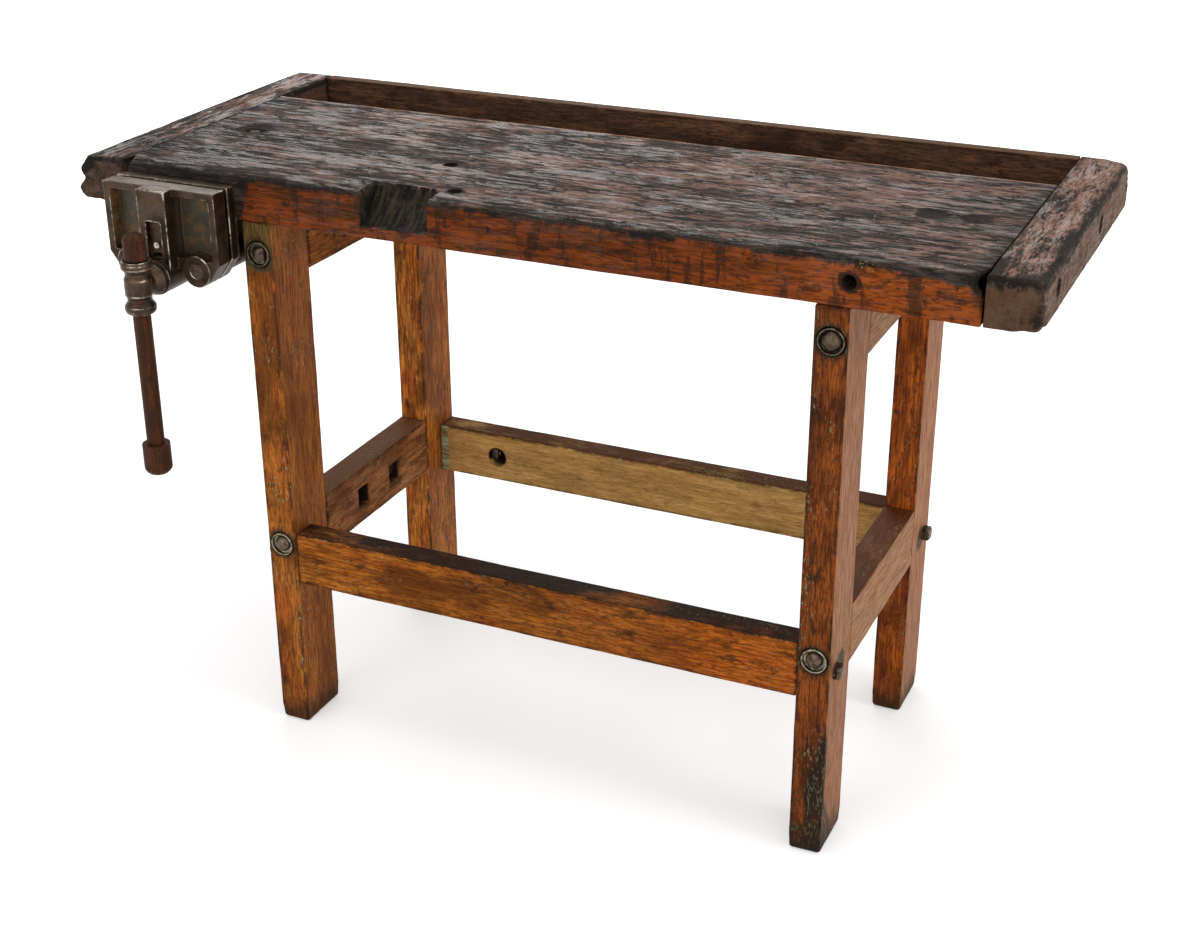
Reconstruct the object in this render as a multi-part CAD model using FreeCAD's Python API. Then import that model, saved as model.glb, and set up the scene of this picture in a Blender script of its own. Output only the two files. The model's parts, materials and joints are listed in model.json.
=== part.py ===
import FreeCAD, Part
import math
import os

# A joiner's bench: a thick slab with end caps and a tool trough, on a bolted
# frame of legs, rails and stretchers, with an iron vise at the front left.
# Layout axes, in millimetres: X from the left end of the top, Y back from the
# front edge of the slab, Z up from the floor.

# ---------------------------------------------------------------- top
overall_length = 1318.0
top_height = 838.0
top_thickness = 63.5
left_cap_width = 70.0
right_cap_width = 67.0
slab_depth = 389.0
trough_width = 129.5
back_board_thickness = 22.0
trough_floor_thickness = 12.0
worn_edge_radius = 9.0
left_worn_corner_radius = 15.0
left_worn_top_radius = 14.0
right_worn_corner_radius = 10.0
right_worn_top_radius = 9.0
arris_radius = 2.0

notch_left = 438.0
notch_width = 99.0
notch_depth = 48.0
notch_reach = 42.0
notch_hollow = 4.0

dog_hole_radius = 9.525
dog_hole_places = [(489.5, 157.0), (553.0, 50.0)]
peg_hole_radius = 9.525
peg_hole_depth = 60.0
peg_hole_x = 1093.0

# ---------------------------------------------------------------- frame
leg_width = 45.0
leg_depth = 88.0
left_overhang = 255.0
right_overhang = 220.0
rear_leg_setback = 43.5
rail_thickness = 45.0
rail_height = 88.0
lower_rail_bottom = 251.5
stretcher_height = 80.0
stretcher_thickness = 40.0
stretcher_bottom = 234.5
stretcher_setback = 3.6

# ---------------------------------------------------------------- fasteners
hole_clearance = 0.4
thread_clearance = 0.05
head_crown_radius_share = 0.86
head_crown_height_share = 0.35
screw_slot_width = 1.0
screw_slot_depth = 1.0

rail_bolt_radius = 6.35
rail_bolt_head_width = 18.0
rail_bolt_head_height = 9.0
rail_nut_width = 20.0
rail_nut_thickness = 11.0
rail_nut_distance = 104.0
rail_pocket_length = 33.0
rail_pocket_height = 38.0
rail_pocket_drop = 5.0
rail_pocket_back = 12.0
bolt_overrun = 4.0
cup_radius = 17.5
cup_rim = 2.2
cup_floor = 2.0
cup_sunk = 7.0
cup_proud = 1.5
cup_clearance = 1.8

stretcher_bolt_radius = 5.5
stretcher_bolt_head_width = 17.0
stretcher_bolt_head_height = 8.0
stretcher_nut_width = 16.5
stretcher_nut_thickness = 10.0
stretcher_nut_distance = 102.0
stretcher_pocket_radius = 16.5
stretcher_washer_radius = 11.5
flat_washer_thickness = 2.5
nut_seat_clearance = 0.15

cap_bolt_inset = 83.0
cap_bolt_spacing = 260.0
cap_bolt_radius = 4.75
cap_bolt_head_width = 14.0
cap_bolt_head_height = 7.0
cap_bolt_sunk = 14.0
cap_bolt_washer_radius = 10.3
cap_bolt_bore_play = 0.7
cap_nut_width = 15.0
cap_nut_thickness = 8.0
cap_nut_distance = 100.0
cap_pocket_length = 25.0
cap_pocket_width = 31.0
cap_pocket_depth = 12.0
cap_lag_radius = 4.0
cap_lag_length = 95.0
cap_lag_sunk = 10.0
cap_lag_head_width = 11.0
cap_lag_head_height = 5.0

top_lag_radius = 5.0
top_lag_length = 82.0
top_lag_sunk = 36.0
lag_head_width = 15.0
lag_head_height = 7.0
head_room = 1.2

board_screw_radius = 2.4
board_screw_length = 45.0
board_screw_head_radius = 4.8
board_screw_count = 7
board_screw_inset = 80.0
floor_screw_length = 38.0
floor_screw_inset = 25.0

# ---------------------------------------------------------------- vise
vise_x = 160.0
jaw_width = 176.0
jaw_top_drop = 16.0
jaw_corner_drop = 98.0
rear_jaw_thickness = 16.5
front_jaw_thickness = 25.2
jaw_web = 8.0
jaw_frame_width = 10.0
panel_bottom_share = 0.7
jaw_closed_gap = 0.3
screw_pitch = 6.35
screw_turns_closed = 1
screw_turns_open = 32

screw_drop = 70.5
screw_radius = 9.5
running_clearance = 0.06
end_clearance = 0.3
centre_boss_radius = 24.0
centre_boss_proud = 23.5
guide_rise = 9.0
guide_spacing = 106.0
guide_radius = 9.5
guide_boss_radius = 22.0
guide_boss_proud = 3.0
guide_end_recess = 0.6
guide_thread_radius = 7.0
guide_nut_width = 22.0
guide_nut_thickness = 10.0
guide_pin_radius = 2.5
guide_pin_depth = 30.0
press_clearance = 0.02

sleeve_radius = 17.0
sleeve_length = 130.0
sleeve_web = 8.0
base_plate_thickness = 12.0
base_plate_width = 120.0
base_plate_depth = 225.0
nut_radius = 17.0
nut_length = 50.0
nut_setback = 6.0
nut_housing_radius = 24.0
nut_housing_length = 60.0
nut_web = 10.0
set_screw_radius = 3.0
set_screw_bite = 4.0
set_screw_y = 31.0
screw_passage_radius = 11.0

vise_lag_radius = 5.0
vise_lag_length = 50.0
vise_lag_spread = 60.0
vise_lag_rows = (30.0, 150.0)
hanger_x = 144.0
hanger_y = 208.0
hanger_radius = 5.5
hanger_head_radius = 8.8
hanger_head_height = 5.0
hanger_recess_radius = 9.5
hanger_recess_stretch = 11.0
hanger_recess_depth = 9.0
hanger_nut_width = 17.0
hanger_nut_thickness = 9.0
jaw_screw_radius = 3.0
jaw_screw_length = 50.0
jaw_screw_head_radius = 6.5
jaw_screw_spread = 142.0
jaw_screw_drop = 27.0

yoke_clearance = 5.0
yoke_thickness = 12.0
yoke_width = 146.0
yoke_margin = 16.0
yoke_corner = 12.0
screw_tail_radius = 7.5
screw_tail_overrun = 8.0

collar_radius = 15.0
collar_depth = 8.2
collar_room = 0.5
collar_pin_radius = 1.5

hub_flange_radius = 22.0
hub_flange_thickness = 6.0
hub_tenon_radius = 8.0
hub_tenon_wall = 3.4
hub_neck_radius = 15.5
hub_pin_radius = 2.5
hub_pin_length = 38.0
handle_reach = 35.0
socket_half_height = 36.0
socket_ring_radius = 20.8
socket_ring_height = 14.0
socket_neck_radius = 16.4
socket_barrel_radius = 18.6
socket_barrel_half = 13.0
socket_round = 4.0

handle_radius = 12.0
handle_clearance = 0.08
handle_top_knob_radius = 15.0
handle_top_knob_height = 37.0
handle_bottom_knob_radius = 19.0
handle_bottom_knob_height = 47.0
handle_travel = 190.0
knob_round = 5.0
tenon_radius = 8.0
tenon_length = 25.0
knob_pin_radius = 1.5

block_width = 45.0
block_proud = 17.0
dog_width = 22.0
dog_thickness = 12.0
dog_length = 87.0
dog_setback = 7.0
dog_head_width = 32.0
dog_head_depth = 19.0
dog_head_height = 8.0
dog_head_front = 4.0
dog_play = 0.3
dog_travel = 25.0
dog_screw_room = 4.0
spring_room = 5.0
spring_width = 10.0
spring_leaf = 0.8
spring_tab = 12.0
spring_bow_length = 48.0
dog_screw_radius = 2.5
dog_screw_head_radius = 4.0
dog_screw_head_height = 3.0
dog_screw_height = 11.0

# ---------------------------------------------------------------- derived levels
V = FreeCAD.Vector
OUT_X = V(1, 0, 0)
OUT_Y = V(0, 1, 0)
UP = V(0, 0, 1)
ANGLE_TOLERANCE = 0.001

top_underside = top_height - top_thickness
cap_joint_left = left_cap_width
cap_joint_right = overall_length - right_cap_width
trough_rear = slab_depth + trough_width
top_rear = trough_rear + back_board_thickness
top_middle = top_height - top_thickness / 2

left_leg_x = left_overhang
right_leg_x = overall_length - right_overhang - leg_width
base_depth = trough_rear - rear_leg_setback
rear_leg_y = base_depth - leg_depth
upper_rail_bottom = top_underside - rail_height
upper_bolt_z = upper_rail_bottom + rail_height / 2
lower_bolt_z = lower_rail_bottom + rail_height / 2
stretcher_z = stretcher_bottom + stretcher_height / 2
front_stretcher_y = stretcher_setback
rear_stretcher_y = base_depth - stretcher_setback - stretcher_thickness

jaw_top = top_height - jaw_top_drop
jaw_corner_z = jaw_top - jaw_corner_drop
screw_z = top_underside - screw_drop
guide_z = screw_z + guide_rise
jaw_travel_in = screw_turns_closed * screw_pitch
jaw_travel_out = screw_turns_open * screw_pitch
jaw_gap = jaw_closed_gap + jaw_travel_in
front_jaw_back = -rear_jaw_thickness - jaw_gap
front_jaw_front = front_jaw_back - front_jaw_thickness
web_front = front_jaw_back - jaw_web
block_front = front_jaw_front - block_proud
centre_boss_front = front_jaw_front - centre_boss_proud
guide_boss_front = front_jaw_front - guide_boss_proud
yoke_front = sleeve_length + jaw_travel_out + yoke_clearance
yoke_back = yoke_front + yoke_thickness
hub_back = centre_boss_front - end_clearance
handle_y = centre_boss_front - handle_reach
base_plate_bottom = top_underside - base_plate_thickness
guide_places = [vise_x - guide_spacing / 2, vise_x + guide_spacing / 2]

# The frame's origin: the middle of the bounding box, on the floor. The socket's
# ring is the part that stands furthest forward.
front_reach = -(handle_y - socket_ring_radius)
origin = V(overall_length / 2, (top_rear - front_reach) / 2, 0)

nodes = {}


# ---------------------------------------------------------------- helpers
def box(x0, x1, y0, y1, z0, z1):
    return Part.makeBox(x1 - x0, y1 - y0, z1 - z0, V(x0, y0, z0))


def rod(radius, start, direction, length):
    return Part.makeCylinder(radius, length, start, direction)


def y_rod(radius, x, y, z, length):
    """A round rod from (x, y, z) towards the back."""
    return rod(radius, V(x, y, z), OUT_Y, length)


def along(shape, point, direction):
    """The shape, drawn about the Z axis, moved to point with +Z turned to direction."""
    moved = shape.copy()
    moved.Placement = FreeCAD.Placement(point, FreeCAD.Rotation(UP, direction))
    return moved


def cut(shape, tools):
    for tool in tools:
        shape = shape.cut(tool)
    return shape


def fuse(shapes):
    whole = shapes[0].fuse(shapes[1:])
    return whole.removeSplitter()


def revolved(profile):
    """A solid of revolution about Z from (radius, height) points, closed on the axis."""
    points = [V(radius, 0, height) for radius, height in profile]
    outline = Part.makePolygon(points + [points[0]])
    return Part.Face(outline).revolve(V(0, 0, 0), UP, 360)


def extruded_y(points, y0, y1):
    """A prism with an outline of (x, z) points, from y0 to y1."""
    outline = Part.makePolygon([V(x, y0, z) for x, z in points + [points[0]]])
    return Part.Face(outline).extrude(V(0, y1 - y0, 0))


def eased(shape, radius, keep):
    """Rounds the edges that keep(edge) chooses."""
    edges = [edge for edge in shape.Edges if keep(edge)]
    return shape.makeFillet(radius, edges)


def runs_along(edge, direction):
    straight = isinstance(edge.Curve, Part.Line)
    return straight and edge.tangentAt(edge.FirstParameter).cross(direction).Length < ANGLE_TOLERANCE


def near(value, target):
    return abs(value - target) < arris_radius / 2


def save(name, solids):
    """Keeps one solid or a group of equal ones as a node, in the frame of the origin."""
    group = solids if isinstance(solids, list) else [solids]
    moved = []
    for solid in group:
        copy = solid.copy()
        copy.translate(-origin)
        moved.append(copy)
    nodes[name] = moved[0] if len(moved) == 1 else Part.makeCompound(moved)


# ---------------------------------------------------------------- fasteners
def square_head(width, height):
    """A square head below Z = 0, with the corners of its crown turned off."""
    half = width / 2
    block = box(-half, half, -half, half, -height, 0)
    crown = half * head_crown_radius_share
    shoulder = -height * head_crown_height_share
    turned = revolved([(0, -height), (crown, -height), (width, shoulder), (width, 0), (0, 0)])
    return block.common(turned)


def head_bore_radius(width):
    """The round counterbore that a square head of this width drops into."""
    return width / math.sqrt(2) + head_room


def square_bolt(radius, length, head_width, head_height):
    """Head below Z = 0, shank up to Z = length."""
    return fuse([square_head(head_width, head_height), rod(radius, V(0, 0, 0), UP, length)])


def square_nut(width, thickness, bore_radius):
    half = width / 2
    block = box(-half, half, -half, half, 0, thickness)
    return block.cut(rod(bore_radius, V(0, 0, 0), UP, thickness))


def flat_washer(radius, thickness, bore_radius):
    disc = rod(radius, V(0, 0, -thickness), UP, thickness)
    return disc.cut(rod(bore_radius, V(0, 0, -thickness), UP, thickness))


def cup_washer():
    """A round iron cup let into the wood, its rim a little proud of the face at Z = 0."""
    cup = revolved([
        (0, -cup_proud), (cup_radius - cup_rim / 2, -cup_proud), (cup_radius, -cup_proud + cup_rim / 2),
        (cup_radius, cup_sunk), (0, cup_sunk),
    ])
    hollow = rod(cup_radius - cup_rim, V(0, 0, -cup_proud), UP, cup_proud + cup_sunk - cup_floor)
    bore = rod(rail_bolt_radius + hole_clearance, V(0, 0, 0), UP, cup_sunk)
    return cut(cup, [hollow, bore])


def lag_screw(radius, length, head_width, head_height):
    """Square head below Z = 0 and a pointed shank up to Z = length."""
    shank = revolved([(0, 0), (radius, 0), (radius, length - 2 * radius), (0, length)])
    return fuse([square_head(head_width, head_height), shank])


def wood_screw(radius, length, head_radius):
    """A slotted countersunk screw: head top at Z = 0, point at Z = length."""
    sink = head_radius - radius
    body = revolved([(0, 0), (head_radius, 0), (radius, sink), (radius, length - 2 * radius), (0, length)])
    return body.cut(screw_slot(head_radius))


def screw_slot(head_radius):
    """The driver's slot across a head whose top is at Z = 0, cut into +Z."""
    half = screw_slot_width / 2
    return box(-head_radius, head_radius, -half, half, 0, screw_slot_depth)


def wood_screw_seat(radius, length, head_radius):
    """The hole that a wood screw fills, a hair larger than its shank and its head."""
    play = thread_clearance
    sink = head_radius - radius
    return revolved([(0, 0), (head_radius + play, 0), (radius + play, sink),
                     (radius + play, length - 2 * radius), (0, length + play)])


# ---------------------------------------------------------------- corners of the frame
class Corner:
    """One leg and the ways its bolts go in."""

    def __init__(self, name, is_right, is_rear):
        self.name = name
        self.x0 = right_leg_x if is_right else left_leg_x
        self.y0 = rear_leg_y if is_rear else 0.0
        self.x_middle = self.x0 + leg_width / 2
        self.inward_x = -1 if is_right else 1
        self.inward_y = -1 if is_rear else 1
        self.outer_x = self.x0 + leg_width if is_right else self.x0
        self.outer_y = base_depth if is_rear else 0.0
        self.inner_x = self.x0 if is_right else self.x0 + leg_width
        self.inner_y = rear_leg_y if is_rear else leg_depth
        self.stretcher_y = (rear_stretcher_y if is_rear else front_stretcher_y) + stretcher_thickness / 2

    def rail_bolt_way(self):
        return OUT_Y * self.inward_y

    def stretcher_bolt_way(self):
        return OUT_X * self.inward_x

    def rail_bolt_points(self):
        return [V(self.x_middle, self.outer_y, z) for z in (upper_bolt_z, lower_bolt_z)]

    def stretcher_bolt_point(self):
        return V(self.outer_x, self.stretcher_y, stretcher_z)


corners = [
    Corner("front_left_leg", False, False),
    Corner("front_right_leg", True, False),
    Corner("rear_left_leg", False, True),
    Corner("rear_right_leg", True, True),
]

rail_pocket_near = rail_nut_distance - rail_pocket_length / 2
rail_bolt_seat = cup_sunk - cup_floor
rail_bolt_length = leg_depth + rail_pocket_near + rail_nut_thickness + bolt_overrun - rail_bolt_seat
stretcher_nut_offset = math.sqrt(stretcher_pocket_radius ** 2 - (stretcher_nut_width / 2) ** 2)
stretcher_nut_near = stretcher_nut_distance - stretcher_nut_offset + nut_seat_clearance
stretcher_bolt_length = (flat_washer_thickness + leg_width + stretcher_nut_near
                         + stretcher_nut_thickness + bolt_overrun)


def make_leg(corner):
    leg = box(corner.x0, corner.x0 + leg_width, corner.y0, corner.y0 + leg_depth, 0, top_underside)
    leg = eased(leg, arris_radius, lambda edge: runs_along(edge, UP))
    holes = []
    for point in corner.rail_bolt_points():
        holes.append(rod(cup_radius + cup_clearance, point, corner.rail_bolt_way(), cup_sunk))
        holes.append(rod(rail_bolt_radius + hole_clearance, point, corner.rail_bolt_way(), leg_depth))
    holes.append(rod(stretcher_bolt_radius + hole_clearance, corner.stretcher_bolt_point(),
                     corner.stretcher_bolt_way(), leg_width))
    return cut(leg, holes)


def make_rail(is_right, bottom, bolt_z, lag_holes):
    """A rail between a front and a rear leg, with a nut pocket near each end, a little below its bolt."""
    pair = [corner for corner in corners if (corner.inward_x < 0) == is_right]
    x_middle = pair[0].x_middle
    inward = pair[0].inward_x
    rail = box(x_middle - rail_thickness / 2, x_middle + rail_thickness / 2,
               leg_depth, rear_leg_y, bottom, bottom + rail_height)
    rail = eased(rail, arris_radius, lambda edge: runs_along(edge, OUT_Y))
    holes = []
    for corner in pair:
        middle_y = corner.inner_y + corner.inward_y * rail_nut_distance
        x_ends = sorted([x_middle - inward * rail_pocket_back, x_middle + inward * rail_thickness])
        half_y, half_z = rail_pocket_length / 2, rail_pocket_height / 2
        pocket_z = bolt_z - rail_pocket_drop
        pocket = box(x_ends[0], x_ends[1], middle_y - half_y, middle_y + half_y,
                     pocket_z - half_z, pocket_z + half_z)
        holes.append(eased(pocket, arris_radius, lambda edge: runs_along(edge, OUT_X)))
        start = V(x_middle, corner.inner_y, bolt_z)
        end_room = rail_nut_distance + rail_pocket_length / 2 + bolt_overrun
        holes.append(rod(rail_bolt_radius + hole_clearance, start, corner.rail_bolt_way(), end_room))
    return cut(rail, holes + lag_holes)


def make_stretcher(is_rear):
    """A stretcher between the two front or the two rear legs, with a round nut pocket near each end."""
    pair = [corner for corner in corners if (corner.inward_y < 0) == is_rear]
    y0 = rear_stretcher_y if is_rear else front_stretcher_y
    middle_y = y0 + stretcher_thickness / 2
    stretcher = box(left_leg_x + leg_width, right_leg_x, y0, y0 + stretcher_thickness,
                    stretcher_bottom, stretcher_bottom + stretcher_height)
    stretcher = eased(stretcher, arris_radius, lambda edge: runs_along(edge, OUT_X))
    holes = []
    for corner in pair:
        pocket_x = corner.inner_x + corner.inward_x * stretcher_nut_distance
        bottom_y = middle_y - corner.inward_y * (stretcher_nut_width / 2 + bolt_overrun / 2)
        holes.append(rod(stretcher_pocket_radius, V(pocket_x, bottom_y, stretcher_z),
                         OUT_Y * corner.inward_y, stretcher_thickness))
        start = V(corner.inner_x, middle_y, stretcher_z)
        end_room = stretcher_nut_distance + stretcher_pocket_radius + bolt_overrun
        holes.append(rod(stretcher_bolt_radius + hole_clearance, start,
                         corner.stretcher_bolt_way(), end_room))
    return cut(stretcher, holes)


def make_frame_bolts():
    bolts, cups, nuts = [], [], []
    bolt = square_bolt(rail_bolt_radius, rail_bolt_length, rail_bolt_head_width, rail_bolt_head_height)
    nut = square_nut(rail_nut_width, rail_nut_thickness, rail_bolt_radius + thread_clearance)
    for corner in corners:
        way = corner.rail_bolt_way()
        for point in corner.rail_bolt_points():
            cups.append(along(cup_washer(), point, way))
            bolts.append(along(bolt, point + way * rail_bolt_seat, way))
            nuts.append(along(nut, point + way * (leg_depth + rail_pocket_near), way))
    save("rail_bolts", bolts)
    save("rail_bolt_cup_washers", cups)
    save("rail_bolt_nuts", nuts)

    bolts, washers, nuts = [], [], []
    bolt = square_bolt(stretcher_bolt_radius, stretcher_bolt_length,
                       stretcher_bolt_head_width, stretcher_bolt_head_height)
    washer = flat_washer(stretcher_washer_radius, flat_washer_thickness,
                         stretcher_bolt_radius + hole_clearance)
    nut = square_nut(stretcher_nut_width, stretcher_nut_thickness, stretcher_bolt_radius + thread_clearance)
    for corner in corners:
        way = corner.stretcher_bolt_way()
        point = corner.stretcher_bolt_point()
        washers.append(along(washer, point, way))
        bolts.append(along(bolt, point - way * flat_washer_thickness, way))
        nuts.append(along(nut, point + way * (leg_width + stretcher_nut_near), way))
    save("stretcher_bolts", bolts)
    save("stretcher_bolt_washers", washers)
    save("stretcher_bolt_nuts", nuts)


# ---------------------------------------------------------------- top lag screws
def top_lag_place(is_right):
    """The seat of the lag screw midway along one upper rail, between the rail's two bolts."""
    x = (right_leg_x if is_right else left_leg_x) + leg_width / 2
    return V(x, base_depth / 2, upper_rail_bottom + top_lag_sunk)


def top_lag_holes(is_right):
    """Wide counterbore from below, then a hole for the shank."""
    place = top_lag_place(is_right)
    return [
        rod(head_bore_radius(lag_head_width), place - UP * top_lag_sunk, UP, top_lag_sunk),
        rod(top_lag_radius + hole_clearance, place, UP, rail_height),
    ]


def make_top_lags():
    lag = lag_screw(top_lag_radius, top_lag_length, lag_head_width, lag_head_height)
    save("top_lag_screws", [along(lag, top_lag_place(is_right), UP) for is_right in (False, True)])


# ---------------------------------------------------------------- end caps
cap_bolt_rows = [cap_bolt_inset, cap_bolt_inset + cap_bolt_spacing]
cap_pocket_near = cap_nut_distance - cap_pocket_length / 2
cap_bolt_bore_radius = max(cap_bolt_washer_radius, cap_bolt_head_width / math.sqrt(2)) + cap_bolt_bore_play
board_middle_y = trough_rear + back_board_thickness / 2


class CapEnd:
    """The left or the right end of the top."""

    def __init__(self, is_right):
        self.width = right_cap_width if is_right else left_cap_width
        self.corner_radius = right_worn_corner_radius if is_right else left_worn_corner_radius
        self.top_radius = right_worn_top_radius if is_right else left_worn_top_radius
        self.inward = -1 if is_right else 1
        self.outer_x = overall_length if is_right else 0.0
        self.joint_x = cap_joint_right if is_right else cap_joint_left
        self.way = OUT_X * self.inward
        self.bolt_length = (self.width - cap_bolt_sunk + flat_washer_thickness + cap_pocket_near
                            + cap_nut_thickness + bolt_overrun)

    def seat(self, y, sunk):
        return V(self.outer_x + self.inward * sunk, y, top_middle)

    def nut_place(self, y):
        return V(self.joint_x + self.inward * cap_pocket_near, y, top_middle)


cap_ends = {"left": CapEnd(False), "right": CapEnd(True)}


def make_cap(end):
    x0, x1 = sorted([end.outer_x, end.joint_x])
    cap = box(x0, x1, 0, top_rear, top_underside, top_height)
    cap = eased(cap, end.corner_radius, lambda edge: runs_along(edge, UP)
                and near(edge.CenterOfMass.x, end.outer_x) and near(edge.CenterOfMass.y, 0))
    cap = eased(cap, end.top_radius, lambda edge: near(edge.CenterOfMass.z, top_height)
                and not near(edge.CenterOfMass.x, end.joint_x) and not near(edge.CenterOfMass.y, top_rear))
    holes = []
    for y in cap_bolt_rows:
        face = end.seat(y, 0)
        holes.append(rod(cap_bolt_bore_radius, face, end.way, cap_bolt_sunk))
        holes.append(rod(cap_bolt_radius + hole_clearance, face, end.way, end.width))
    lag_face = end.seat(board_middle_y, 0)
    holes.append(rod(head_bore_radius(cap_lag_head_width), lag_face, end.way, cap_lag_sunk))
    holes.append(rod(cap_lag_radius + hole_clearance, lag_face, end.way, end.width))
    return cut(cap, holes)


def cap_bolt_slab_holes():
    holes = []
    for end in cap_ends.values():
        for y in cap_bolt_rows:
            start = V(end.joint_x, y, top_middle)
            holes.append(rod(cap_bolt_radius + hole_clearance, start, end.way,
                             cap_nut_distance + cap_pocket_length / 2 + bolt_overrun))
            x0, x1 = sorted([start.x + end.inward * cap_pocket_near,
                             start.x + end.inward * (cap_pocket_near + cap_pocket_length)])
            half = cap_pocket_width / 2
            holes.append(box(x0, x1, y - half, y + half, top_underside, top_middle + cap_pocket_depth))
    return holes


def make_cap_fasteners():
    bolts, washers, nuts, lags = [], [], [], []
    washer = flat_washer(cap_bolt_washer_radius, flat_washer_thickness, cap_bolt_radius + hole_clearance)
    nut = square_nut(cap_nut_width, cap_nut_thickness, cap_bolt_radius + thread_clearance)
    lag = lag_screw(cap_lag_radius, cap_lag_length, cap_lag_head_width, cap_lag_head_height)
    for end in cap_ends.values():
        bolt = square_bolt(cap_bolt_radius, end.bolt_length, cap_bolt_head_width, cap_bolt_head_height)
        for y in cap_bolt_rows:
            seat = end.seat(y, cap_bolt_sunk)
            washers.append(along(washer, seat, end.way))
            bolts.append(along(bolt, seat - end.way * flat_washer_thickness, end.way))
            nuts.append(along(nut, end.nut_place(y), end.way))
        lags.append(along(lag, end.seat(board_middle_y, cap_lag_sunk), end.way))
    save("end_cap_bolts", bolts)
    save("end_cap_bolt_washers", washers)
    save("end_cap_bolt_nuts", nuts)
    save("end_cap_lag_screws", lags)


# ---------------------------------------------------------------- slab and trough
def vise_lag_places():
    half = vise_lag_spread / 2
    return [V(x, y, base_plate_bottom) for x in (vise_x - half, vise_x + half) for y in vise_lag_rows]


def jaw_screw_places():
    half = jaw_screw_spread / 2
    return [V(x, -rear_jaw_thickness, jaw_top - jaw_screw_drop) for x in (vise_x - half, vise_x + half)]


def notch_cutter():
    """A scooped ramp, deepest at the front edge, that runs out at the top face."""
    front = V(notch_left, 0, top_height - notch_depth)
    back = V(notch_left, notch_reach, top_height)
    hollow_way = V(0, notch_depth, -notch_reach).normalize()
    middle = (front + back) / 2 + hollow_way * notch_hollow
    above = V(0, 0, notch_depth)
    ahead = V(0, -notch_reach, 0)
    edges = [
        Part.Arc(front, middle, back).toShape(),
        Part.makeLine(back, back + above),
        Part.makeLine(back + above, front + ahead + above + above),
        Part.makeLine(front + ahead + above + above, front + ahead),
        Part.makeLine(front + ahead, front),
    ]
    return Part.Face(Part.Wire(edges)).extrude(V(notch_width, 0, 0))


def make_slab():
    slab = box(cap_joint_left, cap_joint_right, 0, slab_depth, top_underside, top_height)
    slab = eased(slab, worn_edge_radius,
                 lambda edge: near(edge.CenterOfMass.y, 0) and near(edge.CenterOfMass.z, top_height))
    holes = [notch_cutter()]
    for x, y in dog_hole_places:
        holes.append(rod(dog_hole_radius, V(x, y, top_underside), UP, top_thickness))
    holes.append(y_rod(peg_hole_radius, peg_hole_x, 0, top_middle, peg_hole_depth))
    holes += cap_bolt_slab_holes()
    for is_right in (False, True):
        holes.append(rod(top_lag_radius + thread_clearance, top_lag_place(is_right), UP,
                         top_lag_length + thread_clearance))
    for place in vise_lag_places():
        holes.append(rod(vise_lag_radius + thread_clearance, place, UP, vise_lag_length + thread_clearance))
    for place in jaw_screw_places():
        holes.append(rod(jaw_screw_radius + thread_clearance, place, OUT_Y,
                         jaw_screw_length + thread_clearance))
    hanger = V(hanger_x, hanger_y, top_underside)
    holes.append(rod(hanger_radius + hole_clearance, hanger, UP, top_thickness))
    half = hanger_recess_stretch / 2
    recess_floor = top_height - hanger_recess_depth
    ends = [rod(hanger_recess_radius, V(x, hanger_y, recess_floor), UP, hanger_recess_depth)
            for x in (hanger_x - half, hanger_x + half)]
    waist = box(hanger_x - half, hanger_x + half, hanger_y - hanger_recess_radius,
                hanger_y + hanger_recess_radius, recess_floor, top_height)
    holes.append(fuse(ends + [waist]))
    return cut(slab, holes)


board_screw_step = (cap_joint_right - cap_joint_left - 2 * board_screw_inset) / (board_screw_count - 1)
board_screw_places = [
    V(cap_joint_left + board_screw_inset + index * board_screw_step, top_rear,
      top_underside + trough_floor_thickness / 2)
    for index in range(board_screw_count)
]
floor_on_leg_y = max(slab_depth, rear_leg_y)
floor_screw_rows = [floor_on_leg_y + floor_screw_inset, base_depth - floor_screw_inset]
floor_screw_places = [
    V(x, y, top_underside + trough_floor_thickness)
    for x in (left_leg_x + leg_width / 2, right_leg_x + leg_width / 2) for y in floor_screw_rows
]


def make_trough():
    screw = wood_screw(board_screw_radius, board_screw_length, board_screw_head_radius)
    seat = wood_screw_seat(board_screw_radius, board_screw_length, board_screw_head_radius)
    floor_screw = wood_screw(board_screw_radius, floor_screw_length, board_screw_head_radius)
    floor_seat = wood_screw_seat(board_screw_radius, floor_screw_length, board_screw_head_radius)
    into_board = -OUT_Y
    seats = [along(seat, place, into_board) for place in board_screw_places]
    floor_seats = [along(floor_seat, place, -UP) for place in floor_screw_places]

    floor = box(cap_joint_left, cap_joint_right, slab_depth, trough_rear,
                top_underside, top_underside + trough_floor_thickness)
    board = box(cap_joint_left, cap_joint_right, trough_rear, top_rear, top_underside, top_height)
    board = eased(board, arris_radius,
                  lambda edge: runs_along(edge, OUT_X) and near(edge.CenterOfMass.z, top_height))
    lag_holes = []
    for end in cap_ends.values():
        start = V(end.joint_x, board_middle_y, top_middle)
        lag_holes.append(rod(cap_lag_radius + thread_clearance, start, end.way,
                             cap_lag_length + cap_lag_sunk - end.width + thread_clearance))
    save("trough_floor", cut(floor, seats + floor_seats))
    save("trough_back_board", cut(board, seats + lag_holes))
    save("back_board_screws", [along(screw, place, into_board) for place in board_screw_places])
    save("trough_floor_screws", [along(floor_screw, place, -UP) for place in floor_screw_places])
    return floor_seats


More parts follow.
